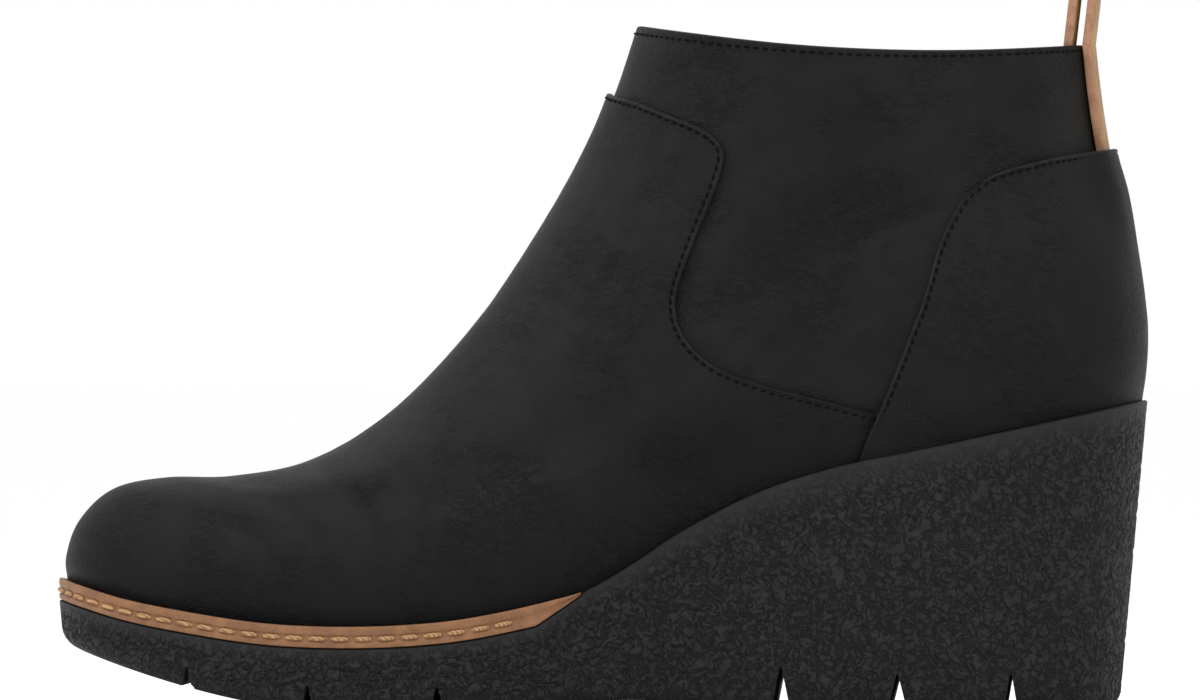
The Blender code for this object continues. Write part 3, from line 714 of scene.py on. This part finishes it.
COUNTER_SIDE = [
    (0, 118.8), (0.7, 119), (1.4, 119.4), (1.9, 119.9), (2.33, 120.4), (2.73, 120.9),
    (3.14, 121.3), (3.55, 121.6), (3.99, 121.8), (4.54, 121.8), (5.14, 121.5), (5.75, 121),
    (6.33, 120.4), (6.88, 119.6), (7.32, 119.1), (7.7, 118.8), (8.04, 118.6), (8.34, 118.5),
    (8.63, 118.7), (8.9, 119.1), (9.18, 119.9), (9.45, 121.1), (9.69, 122.9), (9.88, 125.2),
]
COUNTER_TOP = [
    (0, 10.4), (0.325, 10.37), (0.472, 10.36), (0.582, 10.33), (0.673, 10.29), (0.751, 10.23),
    (0.822, 10.17), (0.888, 10.11), (0.948, 10.02), (1, 9.88),
]
EDGE_ROLL = 0.0006
EDGE_RIDGE = 0.00010
STITCH_INSET = 0.0012
STITCH_GROOVE = 0.00014
GROOVE_WIDTH = 0.00035
CUT_EDGE = 0.25
CROWN_POWER = 6
SKIVED = 0.35
SKIVED_FROM, SKIVED_FADE = 1.0, 1.5
LAP = 0.0006
LAP_FADE = 3
PANEL_LEATHER = 0.0006
# columns and rows stand closer near a panel's rolled edges
CLOSE_SIDES = [(0.0, 0.0), (0.06, 0.010), (0.12, 0.035), (0.25, 0.14), (0.5, 0.5)]
CLOSE_TOP = [(0, 0), (0.03, 0.003), (0.06, 0.010), (0.12, 0.04), (1, 1)]


def edges(side, top, centre):
    """Gives a function from shares across (-1 to 1) and up (0 to 1) to an angle and a ring."""
    side_rings, side_angles = zip(*side)
    top_shares, top_rings = zip(*top)
    corner = top_rings[-1]

    def place(across, up):
        crown = smooth(top_shares, top_rings, np.abs(across))
        ring = up * corner + (crown - corner) * up**CROWN_POWER
        limit = np.abs(smooth(side_rings, side_angles, ring) - centre)
        return centre + across * limit, ring

    return place


def edge_distance(points, columns, rows):
    """How far each point of a grid is from the side and top edges, along the grid's own lines."""
    lines = points.reshape(rows + 1, columns + 1, 3)
    across = np.linalg.norm(np.diff(lines, axis=1), axis=2)
    from_left = np.concatenate([np.zeros((rows + 1, 1)), np.cumsum(across, axis=1)], axis=1)
    sides = np.minimum(from_left, from_left[:, -1:] - from_left)
    up = np.linalg.norm(np.diff(lines, axis=0), axis=2)
    from_bottom = np.concatenate([np.zeros((1, columns + 1)), np.cumsum(up, axis=0)])
    top = from_bottom[-1:] - from_bottom
    return sides.ravel(), top.ravel()


def no_stand(angle, ring):
    """A panel that lies straight on the upper."""
    return 0.0


def full_leather(angle, ring):
    """A panel of one thickness."""
    return OVERLAY


def skived_vamp(angle, ring):
    """The vamp is pared thin where it runs on under the counter."""
    edge = smooth(*zip(*COUNTER_SIDE), ring)
    under = share_of((np.abs(angle) - edge + SKIVED_FROM) / SKIVED_FADE) * (ring < COUNTER_SIDE[-1][0])
    return OVERLAY * (1 - (1 - SKIVED) * under)


def panel(name, side, top, centre, columns, rows, stand=no_stand, thickness=full_leather):
    """A leather panel on the last, with rolled edges and the folds of the leather under it."""
    shape = edges(side, top, centre)

    def place(u, v):
        across = np.sign(u - 0.5) * (1 - 2 * spread(CLOSE_SIDES, 0.5 - np.abs(u - 0.5)))
        up = 1 - spread(CLOSE_TOP, 1 - v)
        angle, ring = shape(across, up)
        sides, over = edge_distance(last_point(angle, ring), columns, rows)
        nearest = np.minimum(sides, over)
        roll = share_of(nearest / EDGE_ROLL)
        rise = np.sqrt(1 - (1 - roll) ** 2)
        ridge = EDGE_RIDGE * bell((nearest - EDGE_ROLL) / (0.6 * EDGE_ROLL))
        ridge -= STITCH_GROOVE * bell((nearest - STITCH_INSET) / GROOVE_WIDTH)
        height = GAP + thickness(angle, ring) * (CUT_EDGE + (1 - CUT_EDGE) * rise)
        height = height + ridge + stand(angle, ring)
        points, folds = skin_point(angle, ring, height, fold_share(ring))
        return points, wear_and_painted_light(angle, ring, folds, bell(nearest / EDGE_ROLL))

    made = sheet(name, columns, rows, place)
    wall(made, PANEL_LEATHER)
    return made


vamp = panel("vamp_panel", VAMP_SIDE, VAMP_TOP, 0, 220, 170, thickness=skived_vamp)
dress(vamp, [vamp_leather], "black_leather", "vamp")

# %% [markdown]
# The counter passes over the outer leg of the pull loop and over the ends of the vamp, so it stands
# off there. It does so gently, because leather bridges a strap and doesn't fold round its edges.

# %% Counter with room for the strap
STRAP_WIDTH = 0.013
STRAP_THICKNESS = 0.0021
STRAP_END_RING = 9.9
ROOM_BESIDE, ROOM_FADE = 0.0114, 0.010
ROOM_BELOW = 3.2


def strap_room(angle, ring):
    """How much more the counter stands off over the loop's leg and over the vamp's end."""
    beside = np.abs(last_point(angle, ring)[..., 1] - last_point(180, ring)[..., 1])
    edge = ease((STRAP_WIDTH / 2 + ROOM_BESIDE - beside) / ROOM_FADE)
    down = ease((ring - STRAP_END_RING + ROOM_BELOW) / ROOM_BELOW)
    lap = ease((smooth(*zip(*VAMP_SIDE), ring) - turn_of(angle) + LAP_FADE) / LAP_FADE)
    return (STRAP_THICKNESS + GAP) * edge * down + LAP * lap


counter = panel("counter_panel", COUNTER_SIDE, COUNTER_TOP, 180, 130, 110, strap_room)
dress(counter, [counter_leather_painted_light], "black_leather", "counter")
print("vamp and counter:", len(vamp.data.polygons) + len(counter.data.polygons), "faces")


# %% [markdown]
# A stitch is a short rounded bar of thread that dips into the leather at both ends. One small sphere,
# stretched and turned along the seam, is enough at this size, and hundreds of them are one piece.

# %% Stitching
def run_of(points):
    """How long a line of points is up to each of them."""
    return np.concatenate([[0], np.cumsum(np.linalg.norm(np.diff(points, axis=0), axis=1))])


def read_line(at, lengths, points):
    """Points of a line at the given lengths."""
    return np.stack([np.interp(at, lengths, points[:, k]) for k in range(3)], axis=1)


def along_line(points, pitch):
    """Places a pitch apart on a line of points, with the line's direction there."""
    lengths = run_of(points)
    count = max(int(round(lengths[-1] / pitch)), 1)
    at = (np.arange(count) + 0.5) * lengths[-1] / count
    ahead = read_line(at + pitch / 4, lengths, points) - read_line(at - pitch / 4, lengths, points)
    return read_line(at, lengths, points), unit(ahead), at / lengths[-1]


def stitches(thread, line, outward, pitch, length, width, slant=0.0):
    """Adds one row of stitches to a bmesh; line and outward are points and normals along the seam."""
    spots, forward, shares = along_line(line, pitch)
    normals = unit(read_line(shares, np.linspace(0, 1, len(outward)), outward))
    sideways = unit(np.cross(normals, forward))
    forward = unit(forward + slant * sideways)
    sideways = unit(np.cross(normals, forward))
    for spot, ahead, side, out in zip(spots + SHIFT, forward, sideways, normals):
        turn = np.eye(4)
        turn[:3, 0] = ahead * length / 2
        turn[:3, 1] = side * width / 2
        turn[:3, 2] = out * width / 2
        turn[:3, 3] = spot
        turn = Matrix(turn.tolist())
        bmesh.ops.create_uvsphere(thread, u_segments=7, v_segments=6, radius=1.0, matrix=turn)
    return len(spots)


SAMPLES = 500
SEAM_START = 0.07


def seam_line(side, top, centre, inset, stand):
    """A line a little inside a panel's edges, from the sole up, over the top and down again."""
    shape = edges(side, top, centre)
    width = np.repeat([-1.0, 0.0, 1.0], SAMPLES)
    width[SAMPLES:-SAMPLES] = np.linspace(-1, 1, SAMPLES)
    climb = np.linspace(SEAM_START, 1, SAMPLES)
    height = np.concatenate([climb, np.ones(SAMPLES), climb[::-1]])
    angle, ring = shape(width, height)
    edge = last_point(angle, ring)
    outward = last_normal(angle, ring)
    along = unit(np.gradient(edge, axis=0) + 1e-12)
    inwards = np.cross(outward, along)
    middle = last_point(*shape(width * 0.9, height * 0.97))
    inwards *= np.sign((inwards * (middle - edge)).sum(axis=1, keepdims=True))
    for _ in range(3):
        inwards[1:-1] = unit(inwards[:-2] + inwards[1:-1] + inwards[2:])
    moved = edge + inwards * inset
    folds = fold_heights(moved)
    return moved + outward * (stand + folds)[:, None], outward


SEAM_STITCH = (0.0021, 0.0015, 0.00052)
SEAM_SLANT = 0.12
SUNK = 0.00002
COLLAR_SEAM_RING = COLLAR_RING - 0.13
COLLAR_SEAM_STAND = 0.00005

panel_thread = bmesh.new()
count = 0
for side, top, centre in ((VAMP_SIDE, VAMP_TOP, 0), (COUNTER_SIDE, COUNTER_TOP, 180)):
    line, outward = seam_line(side, top, centre, STITCH_INSET, GAP + OVERLAY - SUNK)
    count += stitches(panel_thread, line, outward, *SEAM_STITCH, SEAM_SLANT)
collar_angles = np.linspace(-180, 180, SAMPLES)
outward = last_normal(collar_angles, COLLAR_SEAM_RING)
line = last_point(collar_angles, COLLAR_SEAM_RING) + outward * COLLAR_SEAM_STAND
count += stitches(panel_thread, line, outward, *SEAM_STITCH)
seam_stitches = as_object("seam_stitches", panel_thread)
dress(seam_stitches, [black_thread], "black_leather")
print("stitches in the seams:", count)


# %% [markdown]
# The rubber unit is a wedge with toe spring, an arch and upside-down V grooves across its bottom. Its
# grid runs round the shoe. Each row is a level of its section: across the bottom, up the drafted
# side, over the border and its lip, and down into the cup that holds the upper. The side has real
# crepe relief: two winding noises are low along their middle values, and it fades out at the border.

# %% Shapes of the rubber
TOE_SPRING = 0.0133
ARCH_RISE = 0.0018
DRAFT = math.radians(5.2)
EDGE_RADIUS = 0.0032
WELT_TAPER = 0.0115
BORDER_HEIGHT = 0.0032
BORDER_STEP = 0.0004
# how far under the rim the relief is in full, at the forefoot and along the wedge
PLAIN_BORDER = [0.0022, 0.0070]
BORDER_GROWS = [TOE_X + 0.4 * UPPER_LENGTH, TOE_X + 0.6 * UPPER_LENGTH]
FOREFOOT_FLAT = (0.217, 0.415)
HEEL_FLAT_START = 0.635
TOE_SPRING_POWER = 1.45
ARCH_POWER = 0.7
WELT_END = 0.491
DEPTH_STEPS = 5
CUP_OFFSET = GAP + OVERLAY + GAP
RELIEF_DEPTH = 0.00032
CELL = 0.0021
CROSSING_CELL = 1.2 * CELL
BEND, BEND_CELL = 0.35 * CELL, 2.0 * CELL
TROUGH = 0.16
CROSSING = Vector((7.3, 2.1, 4.4))
# noise_vector takes its offsets from the seed, which comes from the clock until it is set
RELIEF_SEED = 3
noise.seed_set(RELIEF_SEED)


def rim_height(x):
    """Top of the rubber: under the welt at the forefoot, and at the feather line along the wedge."""
    covered = share_of((TOE_X + WELT_END * UPPER_LENGTH - x) / WELT_TAPER)
    return feather_height(x) - WELT_HEIGHT * covered


def floor_gap(x):
    """Height of the rubber's underside: toe spring, forefoot flat, arch and heel flat."""
    along = (np.asarray(x) - TOE_X) / UPPER_LENGTH
    start, end = FOREFOOT_FLAT
    spring = TOE_SPRING * np.clip((start - along) / start, 0, None) ** TOE_SPRING_POWER
    span = share_of((along - end) / (HEEL_FLAT_START - end))
    return spring + ARCH_RISE * np.sin(math.pi * span).clip(0) ** ARCH_POWER


def ledge(angle):
    """How far the rubber's top edge stands outside the upper's form."""
    return FORE_LEDGE + (1 - np.cos(np.radians(angle))) / 2 * (HEEL_LEDGE - FORE_LEDGE)


def wall_point(angle, depth, inset):
    """Points of the rubber's drafted side, at a depth under its rim."""
    normal = plan_normal(angle)
    edge = last_point(angle, FEATHER_RING) + normal * ledge(angle)[:, None]
    point = edge - normal * (depth * math.tan(DRAFT) + inset)[:, None]
    point[:, 2] = rim_height(edge[:, 0]) - depth
    return point


def bottom_depth(angle, inset, lift):
    """How deep under the rim the underside is, found in a few steps."""
    depth = np.full_like(angle, WELT_HEIGHT)
    for _ in range(DEPTH_STEPS):
        point = wall_point(angle, depth, inset)
        depth = depth + point[:, 2] - floor_gap(point[:, 0]) - lift
    return depth


def crepe(points):
    """Relief of the crepe rubber: 1 on the swells and 0 in the winding troughs between them."""
    values = []
    for point in points.tolist():
        spot = Vector(point)
        spot += noise.noise_vector(spot / BEND_CELL) * BEND
        first = abs(noise.noise(spot / CELL)) / TROUGH
        second = abs(noise.noise(spot / CROSSING_CELL + CROSSING)) / TROUGH
        values.append(min(first, second, 1.0))
    return np.array(values)


# lengths round the two halves of the sole, so that its columns stand evenly apart
HALF_ANGLES = np.linspace(0, 180, 721)
HALF_ROUND = sum(run_of(last_point(side * HALF_ANGLES, FEATHER_RING)) for side in (1, -1)) / 2

# share of the rows, and part of the section: 0 to 1 bottom, 2 edge, 3 side, 4 border, 5 lip, 6 cup
SOLE_PARTS = [(0.00, 0), (0.06, 1), (0.11, 2), (0.86, 3), (0.92, 4), (0.95, 5), (1.0, 6)]
RELIEF_FROM = 1.4
COLUMNS, ROWS = 900, 100
SOLE_MERGE = 3e-7


def rubber_place(u, v):
    """Rows across the bottom, round its edge, up the side, over the border and down into the cup."""
    angle = np.sign(u - 0.5) * np.interp(np.abs(2 * u - 1) * HALF_ROUND[-1], HALF_ROUND, HALF_ANGLES)
    zero = np.zeros_like(angle)
    part = spread(SOLE_PARTS, v)
    full = bottom_depth(angle, zero, EDGE_RADIUS + zero)
    bend = share_of(part - 1) * math.pi / 2
    inset = EDGE_RADIUS * (1 - np.sin(bend))
    lift = EDGE_RADIUS * (1 - np.cos(bend))
    edge = wall_point(angle, bottom_depth(angle, inset, lift), inset)
    up = share_of(part - 2)
    side_depth = full + up * (BORDER_HEIGHT - full)
    side = wall_point(angle, side_depth, zero)
    relief = np.ones_like(angle)
    on_side = (part > RELIEF_FROM) & (part <= 3)
    relief[on_side] = crepe(np.where((part >= 2)[:, None], side, edge)[on_side])
    below_rim = np.where(part <= 3, side_depth, BORDER_HEIGHT * (4 - part) + BORDER_STEP)
    fade = np.interp(side[:, 0], BORDER_GROWS, PLAIN_BORDER)
    margin = share_of((below_rim - BORDER_STEP) / fade)
    relief = 1 - (1 - relief) * np.where(part >= 2, margin, 1)
    outward = plan_normal(angle)
    border = share_of(part - 3)
    rim = wall_point(angle, BORDER_HEIGHT * (1 - border) + BORDER_STEP * border, zero)
    turn = share_of(part - 4)
    seat = last_point(angle, FEATHER_RING) + outward * CUP_OFFSET
    seat[:, 2] = rim_height(seat[:, 0])
    lip_edge = wall_point(angle, zero, BORDER_STEP + zero)
    over = lip_edge + (seat - lip_edge) * turn[:, None]
    down = share_of(part - 5)
    cup = seat.copy()
    cup_floor = feather_height(seat[:, 0]) - WELT_HEIGHT - GAP
    cup[:, 2] += (cup_floor - seat[:, 2]) * share_of(down * 2)
    points = np.select(
        [(part <= 2)[:, None], (part <= 3)[:, None], (part <= 4)[:, None], (part <= 5)[:, None]],
        [edge, side, rim, over],
        cup,
    )
    points -= outward * (RELIEF_DEPTH * (1 - relief) * (part > RELIEF_FROM))[:, None]
    opposite = points.reshape(-1, COLUMNS + 1, 3)[:, ::-1].reshape(-1, 3)
    middle = (points + opposite) / 2
    inward = np.where(part < 1, 1 - part, share_of(down * 2 - 1))
    points = points + (middle - points) * inward[:, None]
    flat = part < 1
    points[flat, 2] = floor_gap(points[flat, 0])
    return points, {"relief": relief, "crepe": np.where(part > 1, np.where(part >= 2, margin, 1), 0)}


rubber = sheet("rubber_unit", COLUMNS, ROWS, rubber_place, SOLE_MERGE)

# %% Cut the grooves
# place along the length, depth and width in metres
GROOVES = [
    (0.113, 0.0045, 0.0020), (0.228, 0.0052, 0.0022), (0.350, 0.0049, 0.0026),
    (0.670, 0.0094, 0.0038), (0.779, 0.0076, 0.0038), (0.885, 0.0077, 0.0027),
]
GROOVE_TIP = 0.0002
MOUTH_ROUNDING = 0.0006


def groove_bars():
    """Upside-down V bars across the whole sole, with rounded mouths."""
    bars = bmesh.new()
    for along, depth, mouth in GROOVES:
        x = TOE_X + along * UPPER_LENGTH
        z = float(floor_gap(x))
        half = mouth / 2
        outline = [
            (-half - 2 * MOUTH_ROUNDING, -depth), (half + 2 * MOUTH_ROUNDING, -depth),
            (half + MOUTH_ROUNDING, 0), (half, MOUTH_ROUNDING), (GROOVE_TIP, depth - GROOVE_TIP), (0, depth),
            (-GROOVE_TIP, depth - GROOVE_TIP), (-half, MOUTH_ROUNDING), (-half - MOUTH_ROUNDING, 0),
        ]
        spots = [Vector((x + run, -BALL_WIDTH, z + rise)) + Vector(SHIFT) for run, rise in outline]
        face = bars.faces.new([bars.verts.new(spot) for spot in spots])
        pulled = bmesh.ops.extrude_face_region(bars, geom=[face])["geom"]
        ends = [item for item in pulled if isinstance(item, bmesh.types.BMVert)]
        bmesh.ops.translate(bars, verts=ends, vec=(0, 2 * BALL_WIDTH, 0))
    bmesh.ops.recalc_face_normals(bars, faces=bars.faces)
    return as_object("groove_bars", bars)


bars = groove_bars()
cut = rubber.modifiers.new("grooves", "BOOLEAN")
cut.operation = "DIFFERENCE"
cut.solver = "EXACT"
cut.object = bars
shaped = bpy.data.meshes.new_from_object(rubber.evaluated_get(bpy.context.evaluated_depsgraph_get()))
rubber.modifiers.clear()
rubber.data = shaped
bpy.data.objects.remove(bars)
dress(rubber, [crepe_rubber], "black_rubber", "wedge_sole")
print("rubber unit:", len(rubber.data.polygons), "faces")

# %% [markdown]
# The welt is a strip of tan leather round the forefoot, laid on the rubber's edge. Its section is a
# closed outline: a lower bead, a channel for the thick tan thread, and a broad upper bead. Towards
# the arch it is skived thin, until the wedge's own border takes its place.

# %% Welt
WELT_TIP_ANGLE = 88
WELT_STITCH = (0.0053, 0.0045, 0.0011)
CHANNEL_LEVEL = 0.44
STITCHED_TO = WELT_TIP_ANGLE - 7
BEAD_FROM = 0.85
BEAD_WANDER, WANDERS = 0.02, 60
# share outwards and share upwards
WELT_SECTION = [
    (0, 0.02), (0.5, 0), (0.9, 0.01), (1, 0.08), (1, 0.19), (0.93, 0.26), (0.8, 0.3),
    (0.78, 0.44), (0.8, 0.57), (0.92, 0.6), (1, 0.68), (1.02, 0.8), (0.97, 0.93), (0.84, 1),
    (0.5, 1), (0, 0.98), (-0.05, 0.5), (0, 0.02),
]


def welt_point(angle, out, up):
    """Points of the welt, by their share outwards from the cup and upwards from the rubber."""
    base = last_point(angle, FEATHER_RING)
    point = base + plan_normal(angle) * (CUP_OFFSET + out * (ledge(angle) - CUP_OFFSET))[:, None]
    bottom = rim_height(point[:, 0]) + GAP / 3
    point[:, 2] = bottom + up * (feather_height(point[:, 0]) - bottom)
    return point


def welt_place(u, v):
    """Columns round the forefoot and rows round the welt's section."""
    angle = WELT_TIP_ANGLE * (2 * u - 1)
    out, up = smooth(np.linspace(0, 1, len(WELT_SECTION)), WELT_SECTION, v).T
    bead = share_of((out - BEAD_FROM) / (1 - BEAD_FROM))
    wander = np.array([noise.noise(Vector((share * WANDERS, 0.0, 0.0))) for share in u.tolist()])
    return welt_point(angle, out + BEAD_WANDER * wander * bead, up), {"worn": bead}


welt = sheet("welt_strip", 360, 51, welt_place)
shaping = bmesh.new()
shaping.from_mesh(welt.data)
open_edges = [edge for edge in shaping.edges if edge.is_boundary]
bmesh.ops.holes_fill(shaping, edges=open_edges)
bmesh.ops.recalc_face_normals(shaping, faces=shaping.faces)
shaping.to_mesh(welt.data)
shaping.free()
dress(welt, [welt_leather], "tan_leather", "welt")

welt_thread = bmesh.new()
angles = np.linspace(-STITCHED_TO, STITCHED_TO, 400)
level = np.full_like(angles, CHANNEL_LEVEL)
count = stitches(welt_thread, welt_point(angles, 2 * level, level), plan_normal(angles), *WELT_STITCH)
welt_stitches = as_object("welt_stitches", welt_thread)
dress(welt_stitches, [tan_thread], "tan_leather")
print("welt:", len(welt.data.polygons), "faces and", count, "stitches")

# %% [markdown]
# The pull loop is one strap: up inside the collar, over, and down the back to under the counter. Its
# path is found across the strap's width, so the strap lies on the round heel without a gap. The
# Solidify modifier gives the rim its own finish, because a cut edge shows the hide's pale middle.
# The insole keeps its solid, and only gets the lining's leather.

# %% Pull loop
LOOP_HEIGHT = 0.0155
LOOP_LEAN = 0.0018
LOOP_INNER_LENGTH = 0.012
LOOP_BEND = 0.75
BACK_ANGLES = np.linspace(140, 180, 41)


def back_points(across, ring, stand):
    """Points on the back of the upper at distances to one side of its middle."""
    reach = np.abs(last_point(BACK_ANGLES, ring)[:, 1] - last_point(180, ring)[1])
    turn = np.interp(np.abs(across), reach[::-1], BACK_ANGLES[::-1])
    angle = np.where(across >= 0, turn, -turn)
    return last_point(angle, ring) + last_normal(angle, ring) * stand


def strap_row(across, step):
    """The points of one row of the strap: inside the collar, above it or down the back."""
    kind, value = step
    out = GAP + STRAP_THICKNESS / 2
    if kind == "inside":
        return back_points(across, value, -(WALL + out))
    if kind == "outside":
        return back_points(across, value, out)
    inner = back_points(across, COLLAR_RING, -(WALL + out))
    outer = back_points(across, COLLAR_RING, out)
    middle = (inner + outer) / 2
    half_gap = (outer[:, 0] - inner[:, 0]) / 2
    over = share_of((value - (LOOP_HEIGHT - half_gap)) / half_gap)
    middle[:, 0] += kind * half_gap * np.sqrt(1 - over**2) + LOOP_LEAN * value / LOOP_HEIGHT
    middle[:, 2] += value
    return middle


collar_rise = float(last_point(180, COLLAR_RING)[2] - last_point(180, COLLAR_RING - 1)[2])
inner_end = COLLAR_RING - LOOP_INNER_LENGTH / collar_rise
bend = np.linspace(0, math.pi / 2, 12)[1:]
climb = np.concatenate([np.linspace(0, LOOP_BEND, 8), 1 - (1 - LOOP_BEND) * (1 - np.sin(bend))]) * LOOP_HEIGHT
steps = [("inside", ring) for ring in np.linspace(inner_end, COLLAR_RING, 8)[:-1]]
steps += [(-1, height) for height in climb] + [(1, height) for height in climb[::-1][1:]]
steps += [("outside", ring) for ring in np.linspace(COLLAR_RING, STRAP_END_RING, 24)[1:]]


def loop_place(u, v):
    """Columns across the strap and rows along it."""
    points = np.empty((len(u), 3))
    rows = np.rint(v * (len(steps) - 1)).astype(int)
    for index, step in enumerate(steps):
        chosen = rows == index
        points[chosen] = strap_row((u[chosen] - 0.5) * STRAP_WIDTH, step)
    return points, {}


loop = sheet("pull_strap", 14, len(steps) - 1, loop_place)
wall(loop, STRAP_THICKNESS, 0, material_offset_rim=1)
soften = loop.modifiers.new("soft_edges", "BEVEL")
soften.width = 0.0003
soften.segments = 2
soften.limit_method = "ANGLE"
dress(loop, [strap_leather, strap_edge], "tan_leather", "pull_loop")

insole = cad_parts["insole"]
for index in range(len(insole.data.materials)):
    insole.data.materials[index] = lining_leather
print("pull loop:", len(loop.data.polygons), "faces before its wall")

# %% [markdown]
# A catalogue photograph: a white floor that runs into a white background, a broad soft light from the
# front and above, and weaker ones at toe and heel, whose reflections draw the edges of black leather.

# %% Floor and light
floor_mesh = bmesh.new()
bmesh.ops.create_grid(floor_mesh, x_segments=8, y_segments=8, size=40.0)
floor = as_object("floor", floor_mesh)
pale = Finish("pale_floor")
soft_tone = pale.noise(0.02, detail=2.0)
floor.data.materials.append(
    pale.finish(Base_Color=pale.mix(soft_tone, (0.985, 0.985, 0.985), (1.0, 1.0, 1.0)), Roughness=0.7)
)

world = bpy.data.worlds.new("white_studio")
world.use_nodes = True
world.node_tree.nodes["Background"].inputs["Color"].default_value = (1.0, 1.0, 1.0, 1.0)
world.node_tree.nodes["Background"].inputs["Strength"].default_value = 1.0
bpy.context.scene.world = world


LIT_PLACE = Vector((0, 0, 0.07))


def soft_light(name, place, size, power):
    """A square soft box, turned to the boot."""
    lamp = bpy.data.lights.new(name, "AREA")
    lamp.shape = "SQUARE"
    lamp.size = size
    lamp.energy = power
    made = bpy.data.objects.new(name, lamp)
    made.location = place
    made.rotation_euler = (LIT_PLACE - Vector(place)).to_track_quat("-Z", "Y").to_euler()
    bpy.context.scene.collection.objects.link(made)


soft_light("top_light", (-0.35, -0.5, 1.7), 0.8, 13)
soft_light("toe_light", (-1.3, -0.5, 1.0), 0.5, 4)
soft_light("heel_light", (1.3, -0.7, 0.8), 0.5, 1.6)

# %% [markdown]
# The photograph looks level at the outer side, from far away and a little from the heel, which the
# lit sides of the grooves tell. A long lens makes the picture as wide as the boot and its margins.

# %% Camera
PICTURE_WIDTH = 0.2696
CAMERA_DISTANCE = 5.0
CAMERA_TURN = math.radians(2)
AIM = Vector((-0.0006, 0.0, 0.08))
away = Vector((math.sin(CAMERA_TURN), -math.cos(CAMERA_TURN), 0))

camera_data = bpy.data.cameras.new("camera")
camera_data.sensor_width = 36.0
camera_data.lens = camera_data.sensor_width * CAMERA_DISTANCE / PICTURE_WIDTH
camera = bpy.data.objects.new("camera", camera_data)
camera.location = AIM + away * CAMERA_DISTANCE
camera.rotation_euler = (math.radians(90), 0, CAMERA_TURN)
bpy.context.scene.collection.objects.link(camera)
bpy.context.scene.camera = camera
bpy.context.scene.view_settings.view_transform = "Standard"
